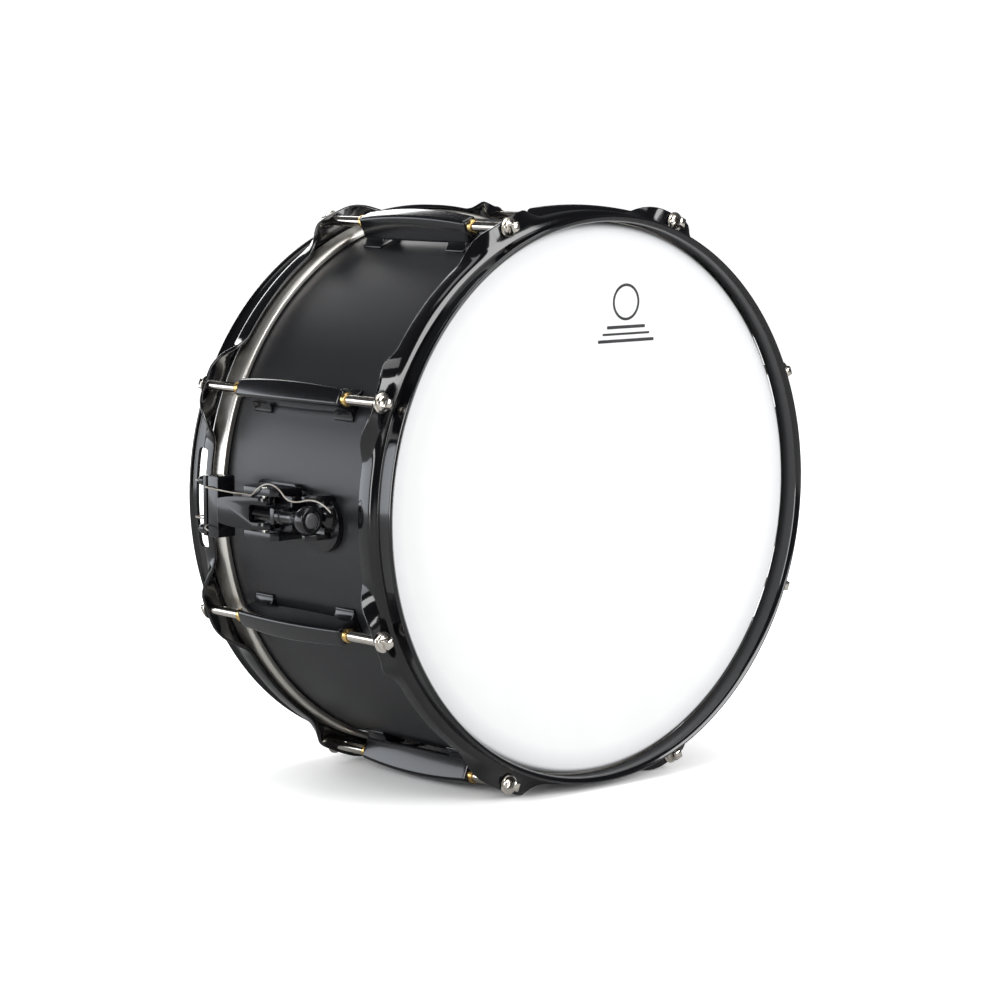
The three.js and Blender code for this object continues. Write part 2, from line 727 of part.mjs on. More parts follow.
function buttPlate() {
  const plate = solid(facePlate(roundedRectangle([10, -19], [52, 19], 8), [175, BASE_FACE]));
  const block = solid(facePlate(roundedRectangle([BUTT_SPAN[0], -18], [BUTT_SPAN[1], 18], 2), [179, BUTT_BLOCK_FACE]));
  return cut(joined(plate, block), shellSurface(), ...buttScrewHoles());
}

function buttClamp() {
  const low = BUTT_BLOCK_FACE + CLAMP_SLIT;
  const plate = solid(facePlate(roundedRectangle([BUTT_SPAN[0], -18], [BUTT_SPAN[1], 18], 2), [low, low + 2.4]));
  return cut(plate, ...buttScrewHoles());
}

function buttScrew(side) {
  const headLow = BUTT_BLOCK_FACE + CLAMP_SLIT + 2.4 + GAP;
  const profile = [
    [0, 185.5],
    [1.8, 185.5],
    [1.8, headLow],
    [3.6, headLow],
    [3.6, headLow + 2.2],
    [2.4, headLow + 3.4],
    [0, headLow + 3.7],
  ];
  const screw = turned(profile, 14).rotateZ(-Math.PI / 2);
  return screw.translate(0, BUTT_SCREW_LEVEL, side * BUTT_SCREW_SPREAD);
}

addPiece(butt, 'butt_plate', buttPlate(), glossBlack());
addPiece(butt, 'butt_clamp', buttClamp(), glossBlack());
addPiece(butt, 'butt_screw_upper', buttScrew(1), nickel());
addPiece(butt, 'butt_screw_lower', buttScrew(-1), nickel());

// ---------------------------------------------------------------- snare wires and cords

const STRAND_COUNT = 20;
const STRAND_PITCH = 2.1;
const WIRE_LOW = FILM_FACE + GAP;

function snareWires() {
  const plates = [-1, 1].map((side) => {
    const x = side > 0 ? [WIRE_PLATE_INNER, WIRE_PLATE_OUTER] : [-WIRE_PLATE_OUTER, -WIRE_PLATE_INNER];
    return solid(box(x, [WIRE_LOW, WIRE_LOW + 1.5], [-22, 22]));
  });
  const strands = [];
  for (let i = 0; i < STRAND_COUNT; i += 1) {
    const z = (i - (STRAND_COUNT - 1) / 2) * STRAND_PITCH;
    const reach = WIRE_PLATE_INNER + 2;
    strands.push(solid(box([-reach, reach], [WIRE_LOW + 0.1, WIRE_LOW + 1.3], [z - 0.6, z + 0.6])));
  }
  return joined(...plates, ...strands);
}

const LOOP_LEVEL = WIRE_LOW + 1.5 + CORD_RADIUS + 0.2;

// Half of the way from an end plate to the gate, at one side of the middle.
function headRun(side, outerEnd) {
  return [
    [outerEnd, CORD_GATE_LEVEL, side],
    [(outerEnd + WIRE_PLATE_OUTER) / 2 + 2, CORD_GATE_LEVEL + 0.3, side],
    [WIRE_PLATE_OUTER + 1, LOOP_LEVEL, side],
    [WIRE_PLATE_INNER + 10, LOOP_LEVEL, side],
  ];
}

// Over the hoop's shelf and down outside the skirt, from the gate to a clamp.
function rimRun(side) {
  return [
    [180, CORD_GATE_LEVEL, side],
    [185, CORD_GATE_LEVEL - 0.4, side],
    [CORD_OUTER_RADIUS - 0.6, CORD_GATE_LEVEL - 3.4, side],
    [CORD_OUTER_RADIUS, 80, side],
    [CORD_OUTER_RADIUS, 66, side],
  ];
}

const LOOP_TURN = [
  [WIRE_PLATE_INNER + 6.5, LOOP_LEVEL, 9],
  [WIRE_PLATE_INNER + 5, LOOP_LEVEL, 0],
  [WIRE_PLATE_INNER + 6.5, LOOP_LEVEL, -9],
];

function strainerCordLoop() {
  const start = headRun(CORD_SPREAD, CORD_SPLIT_RADIUS);
  const end = headRun(-CORD_SPREAD, CORD_SPLIT_RADIUS).reverse();
  return cord([...start, ...LOOP_TURN, ...end], 30);
}

// Through the slit between the clamp block and its plate, with a short tail left standing out.
function strainerCordRun(side, tail, steps) {
  const slit = CLAMP_FACE + CLAMP_SLIT / 2;
  const run = [
    [CORD_SPLIT_RADIUS + GAP, CORD_GATE_LEVEL, side],
    ...rimRun(side),
    [CORD_OUTER_RADIUS, 58, side],
    [CORD_OUTER_RADIUS + 0.9, slit + 1.9, side],
    [191, slit, side],
    [197, slit, side],
    [203, slit, side],
    ...tail,
  ];
  return cord(run, steps);
}

const UPPER_TAIL = [
  [206.4, 52, -12.6],
  [207.2, 48, -12.4],
  [205.2, 42, -11.6],
  [204.6, 33, -11.2],
  [204.4, 25, -10.9],
  [202.6, 18, -10.8],
  [203, 9.5, -10.8],
  [204.7, 5.2, -11],
  [205.4, 1, -14],
  [204.4, -3, -17.4],
  [203.4, -9, -19.4],
  [202.6, -15, -18.6],
  [202.4, -21, -15.6],
  [202.8, -26, -12],
  [203.2, -31, -10.7],
  [203.2, -40, -10.9],
  [201.6, -47, -12.6],
  [199.4, -53, -12],
  [197.4, -58, -9.4],
  [196, -62, -5.6],
];

const LOWER_TAIL = [
  [206, 51.6, 12.6],
  [208, 49, 13.6],
  [208.6, 45, 14.6],
];

function buttCord() {
  const slit = BUTT_BLOCK_FACE + CLAMP_SLIT / 2;
  const half = (side) => [
    ...headRun(side, CORD_SPLIT_RADIUS).reverse(),
    ...rimRun(side),
    [CORD_OUTER_RADIUS + 1.4, 59, side],
    [slit - 1.6, 53.4, side],
    [slit, 50, side],
    [slit, 44, side],
    [slit, 34, side],
    [slit, 24, side],
  ];
  const upper = half(CORD_SPREAD).reverse();
  const lower = half(-CORD_SPREAD);
  return cord([...upper, ...LOOP_TURN, ...lower], 76);
}

addPiece(butt, 'snare_wires', snareWires(), wireSteel());
addPiece(strainer, 'strainer_cord_loop', strainerCordLoop(), nylonCord());
addPiece(strainer, 'strainer_cord_upper', strainerCordRun(-CORD_SPREAD, UPPER_TAIL, 56), nylonCord());
addPiece(strainer, 'strainer_cord_lower', strainerCordRun(CORD_SPREAD, LOWER_TAIL, 36), nylonCord());
addPiece(butt, 'butt_cord', buttCord(), nylonCord());

export default drum;
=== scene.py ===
import math

import bpy
from mathutils import Matrix, Vector


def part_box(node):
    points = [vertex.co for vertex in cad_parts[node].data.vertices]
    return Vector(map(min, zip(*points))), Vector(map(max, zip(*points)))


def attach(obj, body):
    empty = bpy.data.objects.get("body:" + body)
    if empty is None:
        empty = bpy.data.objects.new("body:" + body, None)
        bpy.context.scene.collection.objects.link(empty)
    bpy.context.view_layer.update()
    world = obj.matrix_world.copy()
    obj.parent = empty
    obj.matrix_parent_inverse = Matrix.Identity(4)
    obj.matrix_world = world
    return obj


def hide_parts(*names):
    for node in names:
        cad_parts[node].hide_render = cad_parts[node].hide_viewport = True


# A 14 by 7 inch snare drum lying on its side. Metres, +Z up, the drum's axis along Y.
# The struck head faces -Y and the snare wires face +Y. The strainer is at -X and the butt plate at +X.

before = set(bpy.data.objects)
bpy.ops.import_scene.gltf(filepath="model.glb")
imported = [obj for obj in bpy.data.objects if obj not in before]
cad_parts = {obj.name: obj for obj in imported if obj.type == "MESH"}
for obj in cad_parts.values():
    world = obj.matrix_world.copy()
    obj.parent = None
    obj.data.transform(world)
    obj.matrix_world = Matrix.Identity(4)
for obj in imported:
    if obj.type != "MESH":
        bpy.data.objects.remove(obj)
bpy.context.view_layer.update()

MM = 0.001
shell_low, shell_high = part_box("shell")
AXIS = (shell_low + shell_high) / 2
SHELL_RADIUS = (shell_high.x - shell_low.x) / 2
LUG_COUNT = 8
LUG_STEP = 360 / LUG_COUNT
FIRST_LUG_ANGLE = LUG_STEP / 2
STRAINER_ANGLE = 180
VENT_ANGLE = 45
ROD_CIRCLE = 190.5 * MM
ROUND_STEPS = 256


# ---------------------------------------------------------------- camera, floor and light

CAMERA_AZIMUTH = math.radians(-42.12)
CAMERA_ELEVATION = math.radians(6.86)
CAMERA_DISTANCE = 2.063
SENSOR_WIDTH = 36
FOCAL_LENGTH = 111.96
SHIFT_RIGHT = -0.00211
SHIFT_UP = -0.0126
WHITE = (1, 1, 1)
COOL_WHITE = (0.9, 0.94, 1)

# The name, place, size, power and colour of each softbox. They all face the middle of the drum.
SOFTBOXES = (
    ("side_softbox", (-2.2, -0.5, 0.75), (0.9, 1.5), 30, WHITE),
    ("white_wall", (-1.7, 1.75, 0.32), (2.4, 1.15), 27, COOL_WHITE),
    ("head_softbox", (0.6, -2.4, 1.2), (1.8, 1.6), 68, WHITE),
    ("top_softbox", (0.0, 0.1, 2.3), (1.6, 1.6), 16, WHITE),
    ("rear_softbox", (0.6, 2.2, 1.0), (1.4, 1.2), 26, WHITE),
)
BACKDROP_SEEN = 1.05
BACKDROP_AS_LIGHT = 0.06
FLOOR_SIZE = 60
FLOOR_LEVEL = -0.4 * MM
FLOOR_SHADE_REACH = 0.12


def make_camera():
    data = bpy.data.cameras.new("studio_camera")
    data.sensor_width = SENSOR_WIDTH
    data.lens = FOCAL_LENGTH
    data.shift_x = SHIFT_RIGHT
    data.shift_y = SHIFT_UP
    camera = bpy.data.objects.new("studio_camera", data)
    bpy.context.scene.collection.objects.link(camera)
    back = Vector((
        math.sin(CAMERA_AZIMUTH) * math.cos(CAMERA_ELEVATION),
        -math.cos(CAMERA_AZIMUTH) * math.cos(CAMERA_ELEVATION),
        math.sin(CAMERA_ELEVATION),
    ))
    camera.location = AXIS + back * CAMERA_DISTANCE
    camera.rotation_euler = (-back).to_track_quat("-Z", "Y").to_euler()
    bpy.context.scene.camera = camera


def make_lights():
    for name, place, size, power, colour in SOFTBOXES:
        data = bpy.data.lights.new(name, "AREA")
        data.shape = "RECTANGLE"
        data.size, data.size_y = size
        data.energy = power
        data.color = colour
        lamp = bpy.data.objects.new(name, data)
        bpy.context.scene.collection.objects.link(lamp)
        lamp.location = place
        lamp.rotation_euler = (AXIS - Vector(place)).to_track_quat("-Z", "Y").to_euler()


# Sets out nodes in the editor.
def lay_out(*places):
    for node, right, up in places:
        node.location = (right, up)


# The backdrop is white to the eye, and dimmer where it lights the drum, as between two softboxes.
def make_backdrop():
    world = bpy.data.worlds.new("studio")
    bpy.context.scene.world = world
    world.use_nodes = True
    nodes, links = world.node_tree.nodes, world.node_tree.links
    nodes.clear()
    path = nodes.new("ShaderNodeLightPath")
    seen = nodes.new("ShaderNodeBackground")
    lit = nodes.new("ShaderNodeBackground")
    either = nodes.new("ShaderNodeMixShader")
    output = nodes.new("ShaderNodeOutputWorld")
    path.label = "is it seen or only reflected"
    seen.label = "white backdrop"
    lit.label = "dim room light"
    either.label = "backdrop or room"
    lay_out((path, 0, 200), (lit, 0, 0), (seen, 0, -160), (either, 260, 0), (output, 480, 0))
    seen.inputs["Color"].default_value = (1, 1, 1, 1)
    seen.inputs["Strength"].default_value = BACKDROP_SEEN
    lit.inputs["Color"].default_value = (0.93, 0.95, 1, 1)
    lit.inputs["Strength"].default_value = BACKDROP_AS_LIGHT
    links.new(path.outputs["Is Camera Ray"], either.inputs["Fac"])
    links.new(lit.outputs["Background"], either.inputs[1])
    links.new(seen.outputs["Background"], either.inputs[2])
    links.new(either.outputs["Shader"], output.inputs["Surface"])


# A material with nothing in it yet, its nodes and its links.
def empty_material(name):
    material = bpy.data.materials.new(name)
    material.use_nodes = True
    material.node_tree.nodes.clear()
    return material, material.node_tree.nodes, material.node_tree.links


# White paper that glows as bright as the backdrop where it is seen, a painted light, with a painted shadow
# close to the drum.
def make_floor():
    bpy.ops.mesh.primitive_plane_add(size=FLOOR_SIZE, location=(0, 0, FLOOR_LEVEL))
    floor = bpy.context.object
    floor.name = "studio_floor"
    material, nodes, links = empty_material("pale_floor")
    path = nodes.new("ShaderNodeLightPath")
    paper = nodes.new("ShaderNodeBsdfDiffuse")
    glow = nodes.new("ShaderNodeEmission")
    shade = nodes.new("ShaderNodeAmbientOcclusion")
    bright = nodes.new("ShaderNodeAddShader")
    dim = nodes.new("ShaderNodeBsdfDiffuse")
    either = nodes.new("ShaderNodeMixShader")
    output = nodes.new("ShaderNodeOutputMaterial")
    path.label = "is it seen or only reflected"
    paper.label = "white paper"
    glow.label = "light from below the paper"
    shade.label = "shade under the drum"
    bright.label = "lit paper"
    dim.label = "what the drum sees"
    either.label = "paper or what the drum sees"
    lay_out(
        (shade, -220, -160), (path, 0, 300), (dim, 0, 120), (paper, 0, -20), (glow, 0, -160),
        (bright, 220, -80), (either, 440, 0), (output, 660, 0),
    )
    paper.inputs["Color"].default_value = (0.9, 0.9, 0.9, 1)
    glow.inputs["Color"].default_value = (1, 1, 1, 1)
    shade.inputs["Distance"].default_value = FLOOR_SHADE_REACH
    dim.inputs["Color"].default_value = (0.55, 0.55, 0.545, 1)
    # Painted shadow: the ambient occlusion dims the paper's glow where the drum is close.
    links.new(shade.outputs["AO"], glow.inputs["Strength"])
    links.new(paper.outputs["BSDF"], bright.inputs[0])
    links.new(glow.outputs["Emission"], bright.inputs[1])
    links.new(path.outputs["Is Camera Ray"], either.inputs["Fac"])
    links.new(dim.outputs["BSDF"], either.inputs[1])
    links.new(bright.outputs["Shader"], either.inputs[2])
    links.new(either.outputs["Shader"], output.inputs["Surface"])
    floor.data.materials.append(material)


# ---------------------------------------------------------------- materials


# Black paint over wood or metal: tiny waves in the coat, patches of handling and fine dust scratches.
def black_coat(name, colour, roughness, patchiness, ripple_size, ripple_height, topcoat):
    material, nodes, links = empty_material(name)
    place = nodes.new("ShaderNodeTexCoord")
    patches = nodes.new("ShaderNodeTexNoise")
    sheen = nodes.new("ShaderNodeMapRange")
    scratch_place = nodes.new("ShaderNodeMapping")
    scratches = nodes.new("ShaderNodeTexNoise")
    scratch_edge = nodes.new("ShaderNodeMapRange")
    rough_sum = nodes.new("ShaderNodeMath")
    pigment = nodes.new("ShaderNodeValToRGB")
    ripple = nodes.new("ShaderNodeTexNoise")
    ripple_bump = nodes.new("ShaderNodeBump")
    paint = nodes.new("ShaderNodeBsdfPrincipled")
    output = nodes.new("ShaderNodeOutputMaterial")
    finish_frame = nodes.new("NodeFrame")
    colour_frame = nodes.new("NodeFrame")
    surface_frame = nodes.new("NodeFrame")

    place.label = "place on the drum"
    patches.label = "patches of handling"
    sheen.label = "how dull the patches are"
    scratch_place.label = "scratches stretched round the drum"
    scratches.label = "fine wiping scratches"
    scratch_edge.label = "only the deepest scratches"
    rough_sum.label = "patches and scratches together"
    pigment.label = "depth of the black"
    ripple.label = "orange peel in the coat"
    ripple_bump.label = "height of the orange peel"
    paint.label = "black coat"
    finish_frame.label = "gloss and wear"
    colour_frame.label = "pigment"
    surface_frame.label = "texture of the coat"
    for node in (patches, sheen, scratch_place, scratches, scratch_edge, rough_sum):
        node.parent = finish_frame
    pigment.parent = colour_frame
    for node in (ripple, ripple_bump):
        node.parent = surface_frame

    lay_out(
        (place, -900, 0), (patches, -640, 300), (sheen, -420, 300), (scratch_place, -640, 60),
        (scratches, -420, 60), (scratch_edge, -200, 60), (rough_sum, 0, 200), (pigment, -200, 480),
        (ripple, -420, -260), (ripple_bump, -200, -260), (paint, 260, 0), (output, 560, 0),
    )

    patches.inputs["Scale"].default_value = 9
    patches.inputs["Detail"].default_value = 5
    sheen.inputs["To Min"].default_value = roughness - patchiness
    sheen.inputs["To Max"].default_value = roughness + patchiness
    scratch_place.inputs["Scale"].default_value = (60, 900, 60)
    scratches.inputs["Scale"].default_value = 1
    scratches.inputs["Detail"].default_value = 3
    scratch_edge.inputs["From Min"].default_value = 0.62
    scratch_edge.inputs["From Max"].default_value = 0.8
    scratch_edge.inputs["To Max"].default_value = patchiness
    rough_sum.operation = "ADD"
    rough_sum.use_clamp = True
    pigment.color_ramp.elements[0].position = 0.3
    pigment.color_ramp.elements[0].color = (*[0.75 * part for part in colour], 1)
    pigment.color_ramp.elements[1].position = 0.7
    pigment.color_ramp.elements[1].color = (*[1.25 * part for part in colour], 1)
    ripple.inputs["Scale"].default_value = 1 / ripple_size
    ripple.inputs["Detail"].default_value = 2
    ripple_bump.inputs["Strength"].default_value = 0.5
    ripple_bump.inputs["Distance"].default_value = ripple_height
    paint.inputs["IOR"].default_value = 1.5
    paint.inputs["Coat Weight"].default_value = topcoat
    paint.inputs["Coat Roughness"].default_value = 0.05

    links.new(place.outputs["Object"], patches.inputs["Vector"])
    links.new(patches.outputs["Fac"], sheen.inputs["Value"])
    links.new(place.outputs["Object"], scratch_place.inputs["Vector"])
    links.new(scratch_place.outputs["Vector"], scratches.inputs["Vector"])
    links.new(scratches.outputs["Fac"], scratch_edge.inputs["Value"])
    links.new(sheen.outputs["Result"], rough_sum.inputs[0])
    links.new(scratch_edge.outputs["Result"], rough_sum.inputs[1])
    links.new(patches.outputs["Fac"], pigment.inputs["Fac"])
    links.new(place.outputs["Object"], ripple.inputs["Vector"])
    links.new(ripple.outputs["Fac"], ripple_bump.inputs["Height"])
    links.new(pigment.outputs["Color"], paint.inputs["Base Color"])
    links.new(rough_sum.outputs["Value"], paint.inputs["Roughness"])
    links.new(ripple_bump.outputs["Normal"], paint.inputs["Normal"])
    links.new(paint.outputs["BSDF"], output.inputs["Surface"])
    return material


# Bare or plated metal: tool marks that run round or along the piece, and a slightly cloudy polish.
def bare_metal(name, light, dark, roughness, cloudiness, grain, grain_height):
    material, nodes, links = empty_material(name)
    place = nodes.new("ShaderNodeTexCoord")
    clouds = nodes.new("ShaderNodeTexNoise")
    polish = nodes.new("ShaderNodeMapRange")
    tarnish = nodes.new("ShaderNodeValToRGB")
    grain_place = nodes.new("ShaderNodeMapping")
    marks = nodes.new("ShaderNodeTexNoise")
    marks_bump = nodes.new("ShaderNodeBump")
    metal = nodes.new("ShaderNodeBsdfPrincipled")
    output = nodes.new("ShaderNodeOutputMaterial")
    polish_frame = nodes.new("NodeFrame")
    grain_frame = nodes.new("NodeFrame")

    place.label = "place on the drum"
    clouds.label = "cloudy polish"
    polish.label = "how dull the clouds are"
    tarnish.label = "clean metal to light tarnish"
    grain_place.label = "tool marks stretched one way"
    marks.label = "tool marks"
    marks_bump.label = "depth of the tool marks"
    metal.label = "metal"
    polish_frame.label = "polish and tarnish"
    grain_frame.label = "grain"
    for node in (clouds, polish, tarnish):
        node.parent = polish_frame
    for node in (grain_place, marks, marks_bump):
        node.parent = grain_frame

    lay_out(
        (place, -900, 0), (clouds, -640, 240), (polish, -400, 340), (tarnish, -400, 100),
        (grain_place, -640, -220), (marks, -420, -220), (marks_bump, -200, -220), (metal, 60, 0),
        (output, 360, 0),
    )

    clouds.inputs["Scale"].default_value = 55
    clouds.inputs["Detail"].default_value = 4
    polish.inputs["To Min"].default_value = roughness - cloudiness
    polish.inputs["To Max"].default_value = roughness + cloudiness
    tarnish.color_ramp.elements[0].position = 0.35
    tarnish.color_ramp.elements[0].color = (*dark, 1)
    tarnish.color_ramp.elements[1].position = 0.6
    tarnish.color_ramp.elements[1].color = (*light, 1)
    grain_place.inputs["Scale"].default_value = grain
    marks.inputs["Scale"].default_value = 1
    marks.inputs["Detail"].default_value = 2
    marks_bump.inputs["Strength"].default_value = 0.4
    marks_bump.inputs["Distance"].default_value = grain_height
    metal.inputs["Metallic"].default_value = 1

    links.new(place.outputs["Object"], clouds.inputs["Vector"])
    links.new(clouds.outputs["Fac"], polish.inputs["Value"])
    links.new(clouds.outputs["Fac"], tarnish.inputs["Fac"])
    links.new(place.outputs["Object"], grain_place.inputs["Vector"])
    links.new(grain_place.outputs["Vector"], marks.inputs["Vector"])
    links.new(marks.outputs["Fac"], marks_bump.inputs["Height"])
    links.new(tarnish.outputs["Color"], metal.inputs["Base Color"])
    links.new(polish.outputs["Result"], metal.inputs["Roughness"])
    links.new(marks_bump.outputs["Normal"], metal.inputs["Normal"])
    links.new(metal.outputs["BSDF"], output.inputs["Surface"])
    return material


# White film sprayed with a rough coat, with painted shade that greys it towards the edge by the rim.
def sprayed_film():
    material, nodes, links = empty_material("sprayed_white_film")
    place = nodes.new("ShaderNodeTexCoord")
    centred = nodes.new("ShaderNodeMapping")
    reach = nodes.new("ShaderNodeVectorMath")
    edge = nodes.new("ShaderNodeMapRange")
    mottle = nodes.new("ShaderNodeTexNoise")
    mottle_tone = nodes.new("ShaderNodeValToRGB")
    painted_rim_shade = nodes.new("ShaderNodeMix")
    grit = nodes.new("ShaderNodeTexNoise")
    specks = nodes.new("ShaderNodeTexVoronoi")
    grit_sum = nodes.new("ShaderNodeMath")
    grit_bump = nodes.new("ShaderNodeBump")
    rub = nodes.new("ShaderNodeMapRange")
    film = nodes.new("ShaderNodeBsdfPrincipled")
    output = nodes.new("ShaderNodeOutputMaterial")
    rim_shade_frame = nodes.new("NodeFrame")
    tone_frame = nodes.new("NodeFrame")
    grit_frame = nodes.new("NodeFrame")

    place.label = "place on the drum"
    centred.label = "measured from the drum's axis"
    reach.label = "distance from the middle"
    edge.label = "last stretch before the rim"
    mottle.label = "uneven spray"
    mottle_tone.label = "white with faint mottling"
    # Painted shade: the thinner coat at the edge is a grey tint for the shade that falls under the hoop.
    painted_rim_shade.label = "thinner coat at the edge"
    grit.label = "fine grit"
    specks.label = "larger specks of coat"
    grit_sum.label = "grit and specks"
    grit_bump.label = "rough coat"
    rub.label = "slightly rubbed patches"
    film.label = "coated film"
    rim_shade_frame.label = "edge of the coat"
    tone_frame.label = "colour of the coat"
    grit_frame.label = "roughness of the coat"
    for node in (centred, reach, edge):
        node.parent = rim_shade_frame
    for node in (mottle, mottle_tone, painted_rim_shade):
        node.parent = tone_frame
    for node in (grit, specks, grit_sum, grit_bump, rub):
        node.parent = grit_frame

    lay_out(
        (place, -1100, 0), (centred, -860, 320), (reach, -640, 320), (edge, -420, 320), (mottle, -640, 80),
        (mottle_tone, -420, 80), (painted_rim_shade, -140, 200), (grit, -640, -180), (specks, -640, -400),
        (grit_sum, -400, -260), (grit_bump, -200, -260), (rub, -200, -40), (film, 120, 0), (output, 420, 0),
    )

    centred.inputs["Location"].default_value = (-AXIS.x, 0, -AXIS.z)
    centred.inputs["Scale"].default_value = (1, 0, 1)
    reach.operation = "LENGTH"
    edge.inputs["From Min"].default_value = SHELL_RADIUS - 16 * MM
    edge.inputs["From Max"].default_value = SHELL_RADIUS
    mottle.inputs["Scale"].default_value = 30
    mottle.inputs["Detail"].default_value = 6
    mottle_tone.color_ramp.elements[0].color = (0.86, 0.862, 0.868, 1)
    mottle_tone.color_ramp.elements[1].color = (0.91, 0.912, 0.915, 1)
    # Painted shade by the rim: this grey stands for the shade under the hoop.
    painted_rim_shade.data_type = "RGBA"
    painted_rim_shade.inputs["B"].default_value = (0.72, 0.73, 0.75, 1)
    grit.inputs["Scale"].default_value = 1400
    grit.inputs["Detail"].default_value = 3
    specks.inputs["Scale"].default_value = 700
    grit_sum.operation = "ADD"
    grit_bump.inputs["Strength"].default_value = 0.35
    grit_bump.inputs["Distance"].default_value = 0.0001
    rub.inputs["To Min"].default_value = 0.62
    rub.inputs["To Max"].default_value = 0.82
    film.inputs["IOR"].default_value = 1.45
    film.inputs["Specular IOR Level"].default_value = 0.3

    links.new(place.outputs["Object"], centred.inputs["Vector"])
    links.new(centred.outputs["Vector"], reach.inputs[0])
    links.new(reach.outputs["Value"], edge.inputs["Value"])
    links.new(place.outputs["Object"], mottle.inputs["Vector"])
    links.new(mottle.outputs["Fac"], mottle_tone.inputs["Fac"])
    links.new(edge.outputs["Result"], painted_rim_shade.inputs["Factor"])
    links.new(mottle_tone.outputs["Color"], painted_rim_shade.inputs["A"])
    links.new(place.outputs["Object"], grit.inputs["Vector"])
    links.new(place.outputs["Object"], specks.inputs["Vector"])
    links.new(grit.outputs["Fac"], grit_sum.inputs[0])
    links.new(specks.outputs["Distance"], grit_sum.inputs[1])
    links.new(grit_sum.outputs["Value"], grit_bump.inputs["Height"])
    links.new(mottle.outputs["Fac"], rub.inputs["Value"])
    links.new(painted_rim_shade.outputs["Result"], film.inputs["Base Color"])
    links.new(rub.outputs["Result"], film.inputs["Roughness"])
    links.new(grit_bump.outputs["Normal"], film.inputs["Normal"])
    links.new(film.outputs["BSDF"], output.inputs["Surface"])
    return material


# Thin see-through film with a faint haze where hands and wires have touched it.
def hazy_film():
    material, nodes, links = empty_material("hazy_clear_film")
    place = nodes.new("ShaderNodeTexCoord")
    haze = nodes.new("ShaderNodeTexNoise")
    haze_amount = nodes.new("ShaderNodeMapRange")
    haze_rough = nodes.new("ShaderNodeMapRange")
    waves = nodes.new("ShaderNodeTexNoise")
    waves_bump = nodes.new("ShaderNodeBump")
    clear = nodes.new("ShaderNodeBsdfTransparent")
    skin = nodes.new("ShaderNodeBsdfPrincipled")
    through = nodes.new("ShaderNodeMixShader")
    output = nodes.new("ShaderNodeOutputMaterial")
    haze_frame = nodes.new("NodeFrame")
    wave_frame = nodes.new("NodeFrame")

    place.label = "place on the drum"
    haze.label = "smudges and haze"
    haze_amount.label = "how milky the haze is"
    haze_rough.label = "how dull the haze is"
    waves.label = "slight waves in the film"
    waves_bump.label = "height of the waves"
    clear.label = "seen straight through"
    skin.label = "gloss of the film"
    through.label = "clear and hazy parts"
    haze_frame.label = "haze"
    wave_frame.label = "waves"
    for node in (haze, haze_amount, haze_rough):
        node.parent = haze_frame
    for node in (waves, waves_bump):
        node.parent = wave_frame

    lay_out(
        (place, -900, 0), (haze, -660, 200), (haze_amount, -420, 300), (haze_rough, -420, 60),
        (waves, -660, -240), (waves_bump, -420, -240), (clear, -100, 200), (skin, -140, 40),
        (through, 220, 100), (output, 440, 100),
    )

    haze.inputs["Scale"].default_value = 14
    haze.inputs["Detail"].default_value = 6
    haze_amount.inputs["To Min"].default_value = 0.22
    haze_amount.inputs["To Max"].default_value = 0.42
    haze_rough.inputs["To Min"].default_value = 0.12
    haze_rough.inputs["To Max"].default_value = 0.3
    waves.inputs["Scale"].default_value = 18
    waves_bump.inputs["Strength"].default_value = 0.2
    waves_bump.inputs["Distance"].default_value = 0.0006
    skin.inputs["Base Color"].default_value = (0.62, 0.64, 0.66, 1)

    links.new(place.outputs["Object"], haze.inputs["Vector"])
    links.new(haze.outputs["Fac"], haze_amount.inputs["Value"])
    links.new(haze.outputs["Fac"], haze_rough.inputs["Value"])
    links.new(place.outputs["Object"], waves.inputs["Vector"])
    links.new(waves.outputs["Fac"], waves_bump.inputs["Height"])
    links.new(haze_rough.outputs["Result"], skin.inputs["Roughness"])
    links.new(waves_bump.outputs["Normal"], skin.inputs["Normal"])
    links.new(haze_amount.outputs["Result"], through.inputs["Fac"])
    links.new(clear.outputs["BSDF"], through.inputs[1])
    links.new(skin.outputs["BSDF"], through.inputs[2])
    links.new(through.outputs["Shader"], output.inputs["Surface"])
    return material


